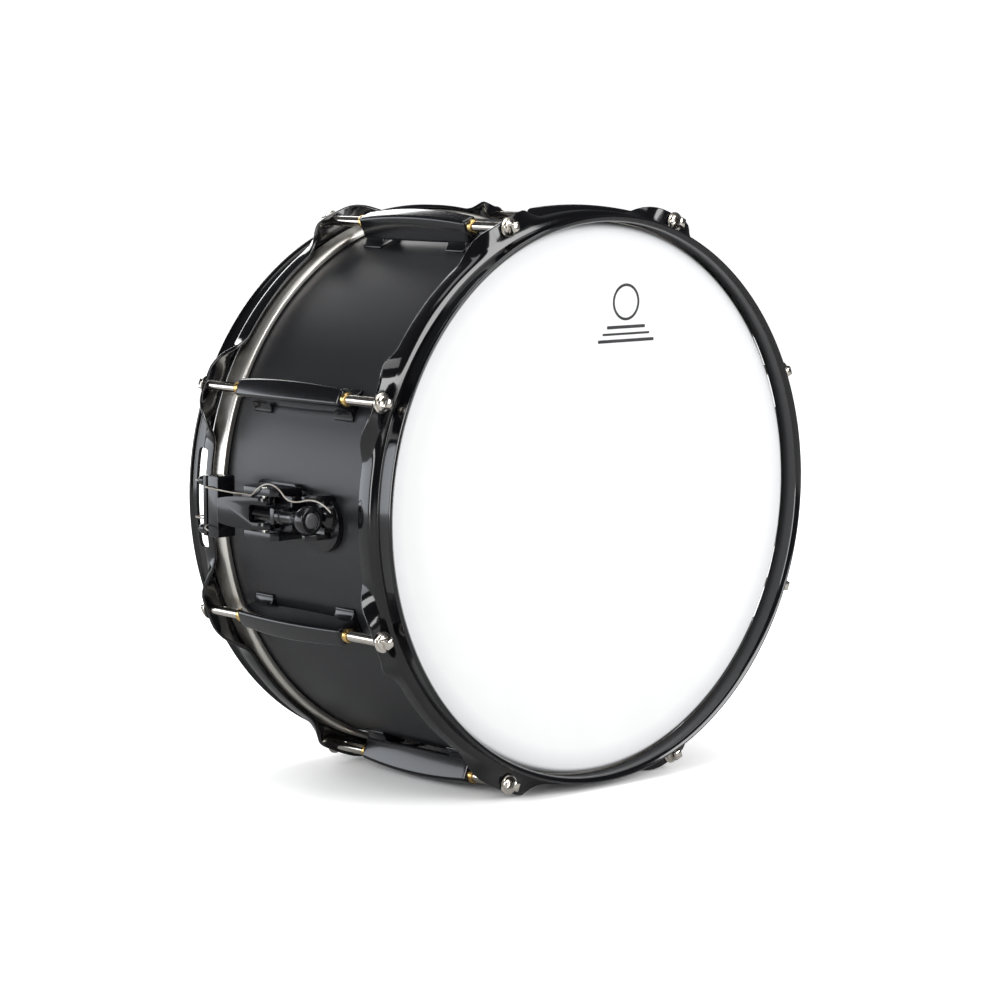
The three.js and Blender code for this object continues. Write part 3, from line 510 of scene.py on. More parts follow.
# Braided nylon cord or dried ink: a soft surface with a fine weave or grain.
def soft_colour(name, light, dark, roughness, weave_size, weave_height, fuzz):
    material, nodes, links = empty_material(name)
    place = nodes.new("ShaderNodeTexCoord")
    weave = nodes.new("ShaderNodeTexVoronoi")
    stain = nodes.new("ShaderNodeTexNoise")
    tone = nodes.new("ShaderNodeValToRGB")
    gloss = nodes.new("ShaderNodeMapRange")
    weave_bump = nodes.new("ShaderNodeBump")
    surface = nodes.new("ShaderNodeBsdfPrincipled")
    output = nodes.new("ShaderNodeOutputMaterial")
    tone_frame = nodes.new("NodeFrame")
    weave_frame = nodes.new("NodeFrame")

    place.label = "place on the drum"
    weave.label = "strands of the braid"
    stain.label = "handling stains"
    tone.label = "clean to stained"
    gloss.label = "worn shine"
    weave_bump.label = "height of the strands"
    surface.label = "cord or ink"
    tone_frame.label = "colour and shine"
    weave_frame.label = "braid"
    for node in (stain, tone, gloss):
        node.parent = tone_frame
    for node in (weave, weave_bump):
        node.parent = weave_frame

    lay_out(
        (place, -860, 0), (stain, -620, 220), (tone, -380, 300), (gloss, -380, 60), (weave, -620, -200),
        (weave_bump, -380, -200), (surface, -60, 0), (output, 240, 0),
    )

    weave.inputs["Scale"].default_value = 1 / weave_size
    stain.inputs["Scale"].default_value = 120
    stain.inputs["Detail"].default_value = 4
    tone.color_ramp.elements[0].position = 0.35
    tone.color_ramp.elements[0].color = (*dark, 1)
    tone.color_ramp.elements[1].position = 0.6
    tone.color_ramp.elements[1].color = (*light, 1)
    gloss.inputs["To Min"].default_value = roughness - 0.1
    gloss.inputs["To Max"].default_value = roughness + 0.1
    weave_bump.inputs["Strength"].default_value = 0.6
    weave_bump.inputs["Distance"].default_value = weave_height
    surface.inputs["Sheen Weight"].default_value = fuzz

    links.new(place.outputs["Object"], stain.inputs["Vector"])
    links.new(stain.outputs["Fac"], tone.inputs["Fac"])
    links.new(stain.outputs["Fac"], gloss.inputs["Value"])
    links.new(place.outputs["Object"], weave.inputs["Vector"])
    links.new(weave.outputs["Distance"], weave_bump.inputs["Height"])
    links.new(tone.outputs["Color"], surface.inputs["Base Color"])
    links.new(gloss.outputs["Result"], surface.inputs["Roughness"])
    links.new(weave_bump.outputs["Normal"], surface.inputs["Normal"])
    links.new(surface.outputs["BSDF"], output.inputs["Surface"])
    return material


SATIN_LACQUER = black_coat(
    "satin_black_lacquer", (0.013, 0.0133, 0.0155), roughness=0.38, patchiness=0.02,
    ripple_size=1.6 * MM, ripple_height=0.008 * MM, topcoat=0,
)
GLOSS_ENAMEL = black_coat(
    "gloss_black_enamel", (0.003, 0.003, 0.004), roughness=0.12, patchiness=0.02,
    ripple_size=4 * MM, ripple_height=0.008 * MM, topcoat=0.35,
)
CAST_ENAMEL = black_coat(
    "black_enamel_on_castings", (0.0045, 0.0045, 0.006), roughness=0.2, patchiness=0.03,
    ripple_size=2.4 * MM, ripple_height=0.012 * MM, topcoat=0.3,
)
NICKEL = bare_metal(
    "nickel_plate", (0.78, 0.74, 0.68), (0.7, 0.65, 0.58),
    roughness=0.16, cloudiness=0.03, grain=(300, 2200, 300), grain_height=0.004 * MM,
)
ALUMINIUM = bare_metal(
    "rolled_aluminium", (0.84, 0.81, 0.75), (0.8, 0.77, 0.71),
    roughness=0.36, cloudiness=0.02, grain=(5, 500, 5), grain_height=0.001 * MM,
)
BRASS = bare_metal(
    "turned_brass", (0.9, 0.64, 0.26), (0.74, 0.48, 0.17),
    roughness=0.24, cloudiness=0.05, grain=(900, 2600, 900), grain_height=0.005 * MM,
)
WIRE_STEEL = bare_metal(
    "drawn_wire_steel", (0.72, 0.72, 0.73), (0.6, 0.6, 0.61),
    roughness=0.24, cloudiness=0.04, grain=(1500, 300, 1500), grain_height=0.006 * MM,
)
GREY_DISC = bare_metal(
    "dull_grey_disc", (0.24, 0.24, 0.25), (0.19, 0.19, 0.2),
    roughness=0.42, cloudiness=0.06, grain=(900, 900, 900), grain_height=0.01 * MM,
)
COATED_FILM = sprayed_film()
CLEAR_FILM = hazy_film()
CORD = soft_colour(
    "braided_nylon", (0.5, 0.47, 0.43), (0.34, 0.29, 0.24),
    roughness=0.55, weave_size=0.4 * MM, weave_height=0.06 * MM, fuzz=0.2,
)
INK = soft_colour(
    "printed_ink", (0.035, 0.035, 0.038), (0.02, 0.02, 0.022),
    roughness=0.55, weave_size=0.7 * MM, weave_height=0.01 * MM, fuzz=0,
)


# ---------------------------------------------------------------- modelling helpers

SPUN_MERGE = 0.002 * MM
SOLID_MERGE = 0.005 * MM
FLAT_ANGLE = math.radians(1.5)


def take(piece):
    bpy.ops.object.select_all(action="DESELECT")
    piece.select_set(True)
    bpy.context.view_layer.objects.active = piece


# Puts the taken piece's place, turn and size into its mesh.
def settle():
    bpy.ops.object.transform_apply(location=True, rotation=True, scale=True)


def finish_mesh(piece, smooth_angle=35):
    take(piece)
    settle()
    bpy.ops.object.shade_smooth_by_angle(angle=math.radians(smooth_angle))


def apply_modifiers(piece):
    take(piece)
    for modifier in list(piece.modifiers):
        bpy.ops.object.modifier_apply(modifier=modifier.name)


def soften_edges(piece, width, segments=3, angle=30):
    bevel = piece.modifiers.new("soft_edges", "BEVEL")
    bevel.width = width
    bevel.segments = segments
    bevel.limit_method = "ANGLE"
    bevel.angle_limit = math.radians(angle)
    bevel.miter_outer = "MITER_ARC"
    apply_modifiers(piece)


def cut_away(piece, *cutters):
    for cutter in cutters:
        boolean = piece.modifiers.new("cut", "BOOLEAN")
        boolean.operation = "DIFFERENCE"
        boolean.solver = "EXACT"
        boolean.object = cutter
        apply_modifiers(piece)
        bpy.data.objects.remove(cutter)


# Replaces each corner by a short curve that starts and ends at its reach from the corner.
def eased(corners, steps=4):
    points = [Vector(corners[0][:2])]
    for before, corner, after in zip(corners, corners[1:], corners[2:]):
        middle = Vector(corner[:2])
        start = middle + (Vector(before[:2]) - middle).normalized() * corner[2]
        end = middle + (Vector(after[:2]) - middle).normalized() * corner[2]
        for i in range(steps + 1):
            share = i / steps
            points.append(start * (1 - share) ** 2 + middle * 2 * share * (1 - share) + end * share**2)
    points.append(Vector(corners[-1][:2]))
    return points


# An outline of (radius, level) points in millimetres, drawn point by point and spun round the Y axis.
def spun(name, outline, steps=ROUND_STEPS, closed=False):
    points = [Vector((point[0], point[1], 0)) * MM for point in outline]
    bpy.ops.object.select_all(action="DESELECT")
    bpy.ops.mesh.primitive_plane_add(size=MM, location=(0, 0, 0))
    piece = bpy.context.object
    piece.name = name
    bpy.ops.object.mode_set(mode="EDIT")
    bpy.ops.mesh.select_all(action="SELECT")
    bpy.ops.mesh.merge(type="CENTER")
    bpy.ops.transform.translate(value=points[0])
    for before, after in zip(points, points[1:]):
        bpy.ops.mesh.extrude_region_move(TRANSFORM_OT_translate={"value": after - before})
    bpy.ops.mesh.select_all(action="SELECT")
    if closed:
        bpy.ops.mesh.extrude_region_move(TRANSFORM_OT_translate={"value": (0, 0, 0)})
        bpy.ops.mesh.delete(type="VERT")
        bpy.ops.mesh.select_all(action="DESELECT")
        bpy.ops.object.mode_set(mode="OBJECT")
        piece.data.vertices[0].select = True
        piece.data.vertices[len(points) - 1].select = True
        bpy.ops.object.mode_set(mode="EDIT")
        bpy.ops.mesh.edge_face_add()
        bpy.ops.mesh.select_all(action="SELECT")
    bpy.ops.mesh.spin(steps=steps, angle=2 * math.pi, center=(0, 0, 0), axis=(0, 1, 0))
    bpy.ops.mesh.select_all(action="SELECT")
    bpy.ops.mesh.remove_doubles(threshold=SPUN_MERGE)
    bpy.ops.mesh.normals_make_consistent(inside=False)
    bpy.ops.object.mode_set(mode="OBJECT")
    return piece


# Takes a piece drawn at angle 0 on the snare side to its angle round the drum, and to the struck side
# where it is flipped.
def placed(piece, angle, flipped=False):
    turn = Matrix.Rotation(math.radians(-angle), 4, "Y")
    over = Matrix.Rotation(math.pi if flipped else 0, 4, "X")
    piece.matrix_world = Matrix.Translation(AXIS) @ turn @ over @ piece.matrix_world
    take(piece)
    settle()
    return piece


def joined(first, *others):
    take(first)
    for other in others:
        other.select_set(True)
    bpy.ops.object.join()
    return first


def copied(piece, name):
    copy = bpy.data.objects.new(name, piece.data.copy())
    bpy.context.scene.collection.objects.link(copy)
    return copy


def dress(piece, material, body, slot=None, *nodes):
    piece.data.materials.clear()
    piece.data.materials.append(material)
    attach(piece, body)
    if nodes:
        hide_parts(*nodes)


# A copy of a solid with its triangles merged, left taken in edit mode.
def merged(node, name, distance):
    piece = copied(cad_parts[node], name)
    take(piece)
    bpy.ops.object.mode_set(mode="EDIT")
    bpy.ops.mesh.select_all(action="SELECT")
    bpy.ops.mesh.remove_doubles(threshold=distance)
    return piece


# A merged copy of a solid with its edges rounded.
def refined(node, name, edge):
    piece = merged(node, name, SOLID_MERGE)
    bpy.ops.mesh.dissolve_limited(angle_limit=FLAT_ANGLE)
    bpy.ops.object.mode_set(mode="OBJECT")
    soften_edges(piece, edge)
    take(piece)
    bpy.ops.object.shade_smooth_by_angle(angle=math.radians(35))
    return piece


def bar(name, radius, length, centre, along="Y", sides=32):
    bpy.ops.object.select_all(action="DESELECT")
    turn = {"X": (0, math.pi / 2, 0), "Y": (math.pi / 2, 0, 0), "Z": (0, 0, 0)}[along]
    bpy.ops.mesh.primitive_cylinder_add(
        vertices=sides, radius=radius, depth=length, location=centre, rotation=turn,
    )
    piece = bpy.context.object
    piece.name = name
    settle()
    return piece


def block(name, size, centre):
    bpy.ops.object.select_all(action="DESELECT")
    bpy.ops.mesh.primitive_cube_add(size=1, location=centre, scale=size)
    piece = bpy.context.object
    piece.name = name
    settle()
    return piece


# ---------------------------------------------------------------- shell, vent and heads

FILM = 0.35
FILM_MIDDLE = 89.375  # level of the middle of a head's film
FLESH_INNER = 177.95
FLESH_OUTER = 182
FLESH_HIGH = 83.2
STRUCK_EDGE = 74.4  # the struck side's flesh hoop and film end level with the counter hoop's skirt
SNARE_SIDE_EDGE = 66
SHELL_OUTER = 177
SHELL_INNER = 170
BEARING_EDGE = 88.8  # level of the bearing edge, on which the film rests
BEARING_CREST = (173.7, 174.4)
VENT_HOLE_RADIUS = 6.2
FILM_TURN = 174.9  # radius at which the flat film starts to turn down
COLLAR_RADIUS = 177.48
COLLAR_TOP = 85.4


# The wall with its bearing edges: a steep cut inside and a short round-over outside.
def make_shell():
    crest_in, crest_out = BEARING_CREST
    half = [
        (SHELL_INNER, 0, 0), (SHELL_INNER, 84.9, 0.8), (crest_in, BEARING_EDGE, 0.3),
        (crest_out, BEARING_EDGE, 0.3), (SHELL_OUTER, 85.6, 1.2),
    ]
    mirrored = [(radius, -level, ease) for radius, level, ease in reversed(half[1:])]
    outline = eased([*half, *mirrored, (SHELL_INNER, 0, 0)])[:-1]
    shell = spun("shell_wall", outline, closed=True)
    hole = bar("vent_hole", VENT_HOLE_RADIUS * MM, 30 * MM, (SHELL_OUTER * MM, 0, 0), along="X")
    hole.data.transform(Matrix.Rotation(math.radians(-VENT_ANGLE), 4, "Y"))
    cut_away(shell, hole)
    placed(shell, 0)
    finish_mesh(shell)
    dress(shell, SATIN_LACQUER, "drum", "satin_shell", "shell")


# A turned tube through the wall with a thin domed flange outside.
def make_vent_grommet():
    bore, tube, flange = 4.4, 6, 9.4
    outline = eased([
        (bore, 168.4, 0), (tube, 168.4, 0.2), (tube, 177.3, 0.1), (flange, 177.3, 0.1), (flange, 177.9, 0.3),
        (7.6, 178.8, 0.8), (bore, 178.8, 0.6), (bore, 168.6, 0),
    ])
    grommet = spun("vent_grommet_turned", outline[:-1], 48, closed=True)
    grommet.data.transform(Matrix.Rotation(-math.pi / 2, 4, "Z"))
    placed(grommet, VENT_ANGLE)
    finish_mesh(grommet)
    dress(grommet, NICKEL, "drum", "nickel_plate", "vent_grommet")


# The film runs flat over the bearing edge, then down as a collar inside its flesh hoop.
def make_head(name, node, flipped, edge, material, slot):
    line = eased([
        (0, FILM_MIDDLE, 0), (FILM_TURN, FILM_MIDDLE, 1.6), (COLLAR_RADIUS, COLLAR_TOP, 1.4),
        (COLLAR_RADIUS, edge + 3, 0),
    ])
    head = spun(name, line)
    sheet = head.modifiers.new("film_thickness", "SOLIDIFY")
    sheet.thickness = FILM * MM
    sheet.offset = 0
    apply_modifiers(head)
    placed(head, 0, flipped)
    finish_mesh(head, 50)
    dress(head, material, "drum", slot, node)


# A rolled hoop round the film's collar, with rounded edges outside.
def make_flesh_hoop(name, node, flipped, low):
    outline = eased([
        (FLESH_INNER, low + 4, 0), (FLESH_INNER, low, 0.3), (181.2, low, 1.1), (FLESH_OUTER, low + 3, 0.9),
        (FLESH_OUTER, 80.6, 0.9), (181, FLESH_HIGH, 1.0), (FLESH_INNER, FLESH_HIGH, 0.3),
        (FLESH_INNER, low + 4.4, 0),
    ])
    hoop = spun(name, outline[:-1], closed=True)
    placed(hoop, 0, flipped)
    finish_mesh(hoop, 50)
    dress(hoop, ALUMINIUM, "drum", "flesh_hoop_aluminium", node)


# A plain printed mark near the rim: a ring over three rules of growing length.
MARK_CENTRE = (26.5, 122)
MARK_LEVEL = 89.62
MARK_RING = (11, 0.9)  # radius and half width
MARK_RULES = ((34, 2.1), (42, 1.5), (50, 2.1))  # length and width
MARK_RULE_STEP = 4.4
MARK_FLATNESS = 0.02


def make_printed_mark():
    across, up = MARK_CENTRE
    ring_radius, ring_half_width = MARK_RING
    bpy.ops.object.select_all(action="DESELECT")
    bpy.ops.mesh.primitive_torus_add(
        major_radius=ring_radius * MM, minor_radius=ring_half_width * MM, major_segments=96, minor_segments=8,
        location=(across * MM, -MARK_LEVEL * MM, (up + 4) * MM), rotation=(math.pi / 2, 0, 0),
    )
    parts = [bpy.context.object]
    settle()
    for row, (length, weight) in enumerate(MARK_RULES):
        centre = (across * MM, -MARK_LEVEL * MM, (up - 12 - MARK_RULE_STEP * row) * MM)
        rule = block(f"rule_{row}", (length * MM, 1.8 * MM, weight * MM), centre)
        soften_edges(rule, 0.4 * MM, 2)
        parts.append(rule)
    mark = joined(*parts)
    mark.name = "printed_mark"
    bpy.ops.object.mode_set(mode="EDIT")
    bpy.ops.mesh.select_all(action="SELECT")
    bpy.ops.transform.resize(value=(1, MARK_FLATNESS, 1), center_override=(0, -MARK_LEVEL * MM, 0))
    bpy.ops.object.mode_set(mode="OBJECT")
    placed(mark, 0)
    finish_mesh(mark)
    dress(mark, INK, "drum", "coated_film")


# ---------------------------------------------------------------- counter hoops

RIM = (182.2, 100.9)
HOOP_WALL = 179.3
SHELF = (184.1, 84.9)
SKIRT_DROP = 10.7
EAR_REACH = 11.4
EAR_FLAT_ANGLE = 2.4
EAR_END_ANGLE = 12
SHEET = 2.3
HOOP_STEPS = 320
ROD_HOLE_RADIUS = 3.5
GATE_SIZE = (34, 15.9, 65)
GATE_LEVEL = 87.45


# 1 where the skirt is turned right out into an ear, 0 between the lugs.
def ear_share(angle):
    nearest = FIRST_LUG_ANGLE + LUG_STEP * round((angle - FIRST_LUG_ANGLE) / LUG_STEP)
    away = abs(angle - nearest)
    share = min(max((away - EAR_FLAT_ANGLE) / (EAR_END_ANGLE - EAR_FLAT_ANGLE), 0), 1)
    return 1 - share * share * (3 - 2 * share)


# The middle of the sheet from the rim to the edge of the skirt.
def hoop_line(ear):
    slope = -math.pi / 2 * (1 - ear)
    length = SKIRT_DROP + (EAR_REACH - SKIRT_DROP) * ear
    edge = (SHELF[0] + length * math.cos(slope), SHELF[1] + length * math.sin(slope), 0)
    return eased([(*RIM, 0), (HOOP_WALL, 98.9, 1.3), (HOOP_WALL, 86.6, 1.6), (*SHELF, 1.9), edge], 5)


# Pressed sheet: a rim, a straight wall, a shelf, and a skirt that turns out into an ear at each lug.
# A gated hoop has a window at each end of the snare wires for their cords.
def make_counter_hoop(name, node, flipped, gated):
    hoop = spun(name, hoop_line(0), HOOP_STEPS)
    plain = [point * MM for point in hoop_line(0)]
    for vertex in hoop.data.vertices:
        radius = math.hypot(vertex.co.x, vertex.co.z)
        angle = math.degrees(math.atan2(vertex.co.z, vertex.co.x)) % 360
        row = min(range(len(plain)), key=lambda i: (plain[i] - Vector((radius, vertex.co.y))).length)
        point = hoop_line(ear_share(angle))[row] * MM
        turn = math.radians(angle)
        vertex.co = (point.x * math.cos(turn), point.y, point.x * math.sin(turn))
    sheet = hoop.modifiers.new("sheet_thickness", "SOLIDIFY")
    sheet.thickness = SHEET * MM
    sheet.offset = 0
    sheet.use_even_offset = True
    apply_modifiers(hoop)
    soften_edges(hoop, 0.75 * MM, 3, 55)
    cutters = []
    for k in range(LUG_COUNT):
        angle = math.radians(FIRST_LUG_ANGLE + k * LUG_STEP)
        centre = (ROD_CIRCLE * math.cos(angle), SHELF[1] * MM, ROD_CIRCLE * math.sin(angle))
        cutters.append(bar("rod_hole", ROD_HOLE_RADIUS * MM, 14 * MM, centre, sides=24))
    if gated:
        for side in (-1, 1):
            gate = block("gate", [size * MM for size in GATE_SIZE], (side * 190 * MM, GATE_LEVEL * MM, 0))
            soften_edges(gate, 3 * MM, 4)
            cutters.append(gate)
    cut_away(hoop, *cutters)
    placed(hoop, 0, flipped)
    finish_mesh(hoop, 38)
    dress(hoop, GLOSS_ENAMEL, "drum", "gloss_black", node)


# ---------------------------------------------------------------- lugs and rods

LUG_HALF_LENGTH = 52
LUG_UNDERSIDE = 180.6
LUG_MIDDLE_RADIUS = 198.9
LUG_END_RADIUS = 195.4
LUG_WIDTH = 13.5
LUG_END_WIDTH = 11.4
LUG_SLICES = (8, 17, 26, 34, 42, 48)
LUG_END_FACE = (20 * MM) * (2 * MM)  # the flat of an end is larger than this, its bevels are smaller
LUG_FOOT_SPAN = (31.5, 49.4)
# radius and half width, from the shell outwards
LUG_FOOT_HALF_WIDTHS = ((176.4, 10.5), (178.1, 10.5), (178.5, 9.3), (179.2, 8), (180.2, 6.9), (182.4, 5.4))


# Cuts a piece with planes across one axis, so that the rows of points between them can be moved.
def sliced(piece, levels, axis):
    normal = [0, 0, 0]
    normal[axis] = 1
    take(piece)
    bpy.ops.object.mode_set(mode="EDIT")
    for level in levels:
        centre = [0, 0, 0]
        centre[axis] = level * MM
        bpy.ops.mesh.select_all(action="SELECT")
        bpy.ops.mesh.bisect(plane_co=centre, plane_no=normal)
    bpy.ops.object.mode_set(mode="OBJECT")


# The bridge of a lug: bowed outside, tapered to its ends and rounded along all its edges.
def model_lug_bridge():
    low, high = LUG_UNDERSIDE * MM, LUG_MIDDLE_RADIUS * MM
    lug = block("lug", (high - low, 2 * LUG_HALF_LENGTH * MM, LUG_WIDTH * MM), ((low + high) / 2, 0, 0))
    sliced(lug, [side * level for level in LUG_SLICES for side in (-1, 1)] + [0], 1)
    for vertex in lug.data.vertices:
        share = (vertex.co.y / MM / LUG_HALF_LENGTH) ** 2
        width = LUG_WIDTH + (LUG_END_WIDTH - LUG_WIDTH) * share
        if vertex.co.x > (low + high) / 2:
            vertex.co.x = (LUG_MIDDLE_RADIUS + (LUG_END_RADIUS - LUG_MIDDLE_RADIUS) * share) * MM
        vertex.co.z = math.copysign(width / 2 * MM, vertex.co.z)
    soften_edges(lug, 2.3 * MM, 5, 40)
    # The ends are dished a little round the rod.
    for face in lug.data.polygons:
        at_end = abs(face.normal.y) > 0.98 and abs(face.center.y) > 50 * MM
        face.select = at_end and face.area > LUG_END_FACE
    bpy.ops.object.mode_set(mode="EDIT")
    bpy.ops.mesh.select_mode(type="FACE")
    bpy.ops.mesh.inset(thickness=0.9 * MM, depth=0)
    bpy.ops.mesh.inset(thickness=0.5 * MM, depth=-0.8 * MM)
    bpy.ops.mesh.select_mode(type="VERT")
    bpy.ops.object.mode_set(mode="OBJECT")
    return lug


# A broad pad that stands on the shell and narrows in a hollow curve to the width of the bridge.
def model_lug_foot(side):
    low, high = LUG_FOOT_HALF_WIDTHS[0][0], LUG_FOOT_HALF_WIDTHS[-1][0]
    near, far = LUG_FOOT_SPAN
    centre = ((low + high) / 2 * MM, side * (near + far) / 2 * MM, 0)
    foot = block("lug_foot", ((high - low) * MM, (far - near) * MM, 20 * MM), centre)
    sliced(foot, [radius for radius, half in LUG_FOOT_HALF_WIDTHS[1:-1]], 0)
    for vertex in foot.data.vertices:
        radius = vertex.co.x / MM
        half = min(LUG_FOOT_HALF_WIDTHS, key=lambda row: abs(row[0] - radius))[1]
        vertex.co.z = math.copysign(half * MM, vertex.co.z)
    soften_edges(foot, 0.8 * MM, 3, 50)
    return foot


def model_lug():
    return joined(model_lug_bridge(), model_lug_foot(-1), model_lug_foot(1))


# The brass nut that floats in each end of a lug and takes the rod.
def model_swivel_nut():
    bore, neck, collar = 3.4, 4.1, 4.5
    outline = eased([
        (bore, 49, 0), (bore, 55.4, 0.2), (4.2, 55.4, 0.4), (collar, 54.4, 0.4), (collar, 52.6, 0.2),
        (neck, 52.2, 0.1), (neck, 49, 0),
    ])
    nut = spun("swivel_nut", outline, 40, closed=True)
    nut.data.transform(Matrix.Translation((ROD_CIRCLE, 0, 0)))
    return nut


ROD_RADIUS = 2.78
SHANK_RADIUS = 3.3
WASHER_RADIUS = 6.5
FLANGE_LEVEL = 86.35
WASHER = 1.1
KEY_SQUARE = 6.35
ROD_TIP = 95
ROD_THREAD = (36, 53)
ROD_PITCH = 0.8


# A threaded end, a thicker plain shank, a loose washer, a collar, and the square that the key turns,
# with a domed end.
def model_rod():
    thread = []
    level, thread_end = ROD_THREAD
    while level < thread_end:
        thread += [(ROD_RADIUS - 0.35, level), (ROD_RADIUS, level + ROD_PITCH / 2)]
        level += ROD_PITCH
    tip = [(0, 35.4), (ROD_RADIUS - 0.6, 35.4)]
    shank = [*tip, *thread, (ROD_RADIUS - 0.3, level), (SHANK_RADIUS, level + 0.8)]
    top = FLANGE_LEVEL + WASHER
    washer = eased([
        (SHANK_RADIUS, FLANGE_LEVEL, 0), (WASHER_RADIUS, FLANGE_LEVEL, 0.2), (WASHER_RADIUS, top, 0.2),
        (5.1, top, 0.1), (5.1, top + 1.3, 0.5), (3.6, top + 1.9, 0.4), (3.4, top + 2.4, 0.2),
        (0, top + 2.4, 0),
    ], 3)
    rod = spun("rod", [*shank, *washer], 40)
    square_low, square_high = (top + 1.6) * MM, (ROD_TIP - 1.5) * MM
    square = block(
        "key_square", (KEY_SQUARE * MM, square_high - square_low, KEY_SQUARE * MM),
        (0, (square_low + square_high) / 2, 0),
    )
    bpy.ops.object.mode_set(mode="EDIT")
    bpy.ops.mesh.select_mode(type="FACE")
    bpy.ops.mesh.select_all(action="DESELECT")
    bpy.ops.object.mode_set(mode="OBJECT")
    for face in square.data.polygons:
        face.select = face.normal.y > 0.9
    bpy.ops.object.mode_set(mode="EDIT")
    for rise, share in ((0.8, 0.84), (0.5, 0.72), (0.2, 0.5)):
        bpy.ops.mesh.extrude_region_move(TRANSFORM_OT_translate={"value": (0, rise * MM, 0)})
        bpy.ops.transform.resize(value=(share, 1, share), center_override=(0, 0, 0))
    bpy.ops.mesh.select_mode(type="VERT")
    bpy.ops.object.mode_set(mode="OBJECT")
    soften_edges(square, 0.55 * MM, 3, 50)
    joined(rod, square)
    rod.data.transform(Matrix.Translation((ROD_CIRCLE, 0, 0)))
    return rod


# The heads of the two screws that hold a lug, on the inside of the shell.
def model_lug_screw():
    outline = eased([
        (SHELL_INNER + 1, 0, 0), (SHELL_INNER - 0.2, 5.6, 0.1), (SHELL_INNER - 1.1, 5.6, 0.3),
        (SHELL_INNER - 1.1, 3.9, 0.1), (SHELL_INNER - 3.2, 3.7, 0.7), (SHELL_INNER - 3.9, 0, 0),
    ])
    screw = spun("lug_screw", [(point.y, point.x) for point in outline], 28)
    screw.data.transform(Matrix.Rotation(-math.pi / 2, 4, "Z"))
    slots = []
    for along, across in ((0.8, 5), (5, 0.8)):
        slots.append(block("slot", (3 * MM, along * MM, across * MM), ((SHELL_INNER - 3.6) * MM, 0, 0)))
    cut_away(screw, *slots)
    return screw


LUG_SCREW_LEVEL = 37


def make_lugs_and_rods():
    lug, nut, rod, screw = model_lug(), model_swivel_nut(), model_rod(), model_lug_screw()
    for k in range(LUG_COUNT):
        angle = FIRST_LUG_ANGLE + k * LUG_STEP
        number = k + 1
        casting = placed(copied(lug, f"lug_casting_{number}"), angle)
        finish_mesh(casting, 30)
        dress(casting, CAST_ENAMEL, "drum", "gloss_black", f"lug_{number}")
        for side, flipped in (("snare_side", False), ("batter", True)):
            insert = placed(copied(nut, f"{side}_swivel_nut_{number}"), angle, flipped)
            finish_mesh(insert)
            dress(insert, BRASS, "drum")
            bolt = placed(copied(rod, f"{side}_key_rod_{number}"), angle, flipped)
            finish_mesh(bolt, 30)
            dress(bolt, NICKEL, f"{side}_rod_{number}_body", "nickel_plate", f"{side}_rod_{number}")
            fixing = copied(screw, f"{side}_lug_screw_{number}")
            fixing.data.transform(Matrix.Translation((0, LUG_SCREW_LEVEL * MM, 0)))
            placed(fixing, angle, flipped)
            finish_mesh(fixing)
            dress(fixing, NICKEL, "drum")
    for model in (lug, nut, rod, screw):
        bpy.data.objects.remove(model)


# ---------------------------------------------------------------- strainer

SCREW_AXIS = 201
CLAMP_STUD = (200.5, 15.4)
CLAMP_HEAD = 57.3
STRAINER_THREAD = (-18.4, 47)
STRAINER_PITCH = 0.7
STRAINER_THREAD_RADII = (2.1, 2.48)


# The strainer's castings keep the shapes of their solids, with rounded edges.
def make_strainer():
    castings = (
        ("strainer_base", "strainer_frame", 0.9, "drum"),
        ("strainer_slide", "strainer_carrier", 0.7, "slide"),
        ("strainer_clamp_block", "clamp_jaw_inner", 0.7, "clamp"),
        ("strainer_clamp_plate", "clamp_jaw_outer", 0.6, "clamp"),
        ("strainer_lever", "throw_lever", 1.1, "lever"),
    )
    for node, name, edge, body in castings:
        piece = refined(node, name, edge * MM)
        dress(piece, CAST_ENAMEL, body, "gloss_black", node)
    for node in ("lever_pin_lower", "lever_pin_upper"):
        dress(refined(node, f"{node}_turned", 0.5 * MM), NICKEL, "drum", "nickel_plate", node)


# A trumpet-shaped knob with a plain grey disc let into its end.
def make_knob():
    neck = -18.9
    outline = eased([
        (0, neck, 0), (5.2, neck, 0.3), (5.2, -22.4, 0.3), (4.2, -23.2, 0.4), (4.2, -30.5, 2.5), (5, -35, 2),
        (6.8, -40, 1.6), (8.7, -43.6, 1.2), (8.9, -46.2, 1), (8.5, -49.3, 0.6), (7.7, -50, 0.3),
        (5.7, -50, 0.3), (5.4, -49.2, 0.2), (0, -49.2, 0),
    ])
    knob = spun("trumpet_knob", outline, 96)
    knob.data.transform(Matrix.Translation((SCREW_AXIS * MM, 0, 0)))
    placed(knob, STRAINER_ANGLE)
    finish_mesh(knob)
    dress(knob, CAST_ENAMEL, "knob", "gloss_black", "adjusting_knob")
    disc_line = eased([(0, -49.9, 0), (4.7, -49.9, 0.4), (5.1, -49.4, 0.3), (5.1, -49, 0)])
    disc = spun("knob_end_disc", disc_line, 64)
    disc.data.transform(Matrix.Translation((SCREW_AXIS * MM, 0, 0)))
    placed(disc, STRAINER_ANGLE)
    finish_mesh(disc)
    dress(disc, GREY_DISC, "knob", "disc_metal", "adjusting_knob_disc")


def make_adjusting_screw():
    level, end = STRAINER_THREAD
    root, crest = STRAINER_THREAD_RADII
    thread = [(0, level)]
    while level < end:
        thread += [(root, level), (crest, level + STRAINER_PITCH / 2)]
        level += STRAINER_PITCH
    thread.append((0, level))
    screw = spun("adjusting_screw_threaded", thread, 28)
    screw.data.transform(Matrix.Translation((SCREW_AXIS * MM, 0, 0)))
    placed(screw, STRAINER_ANGLE)
    finish_mesh(screw, 20)
    dress(screw, CAST_ENAMEL, "knob", "gloss_black", "adjusting_screw")


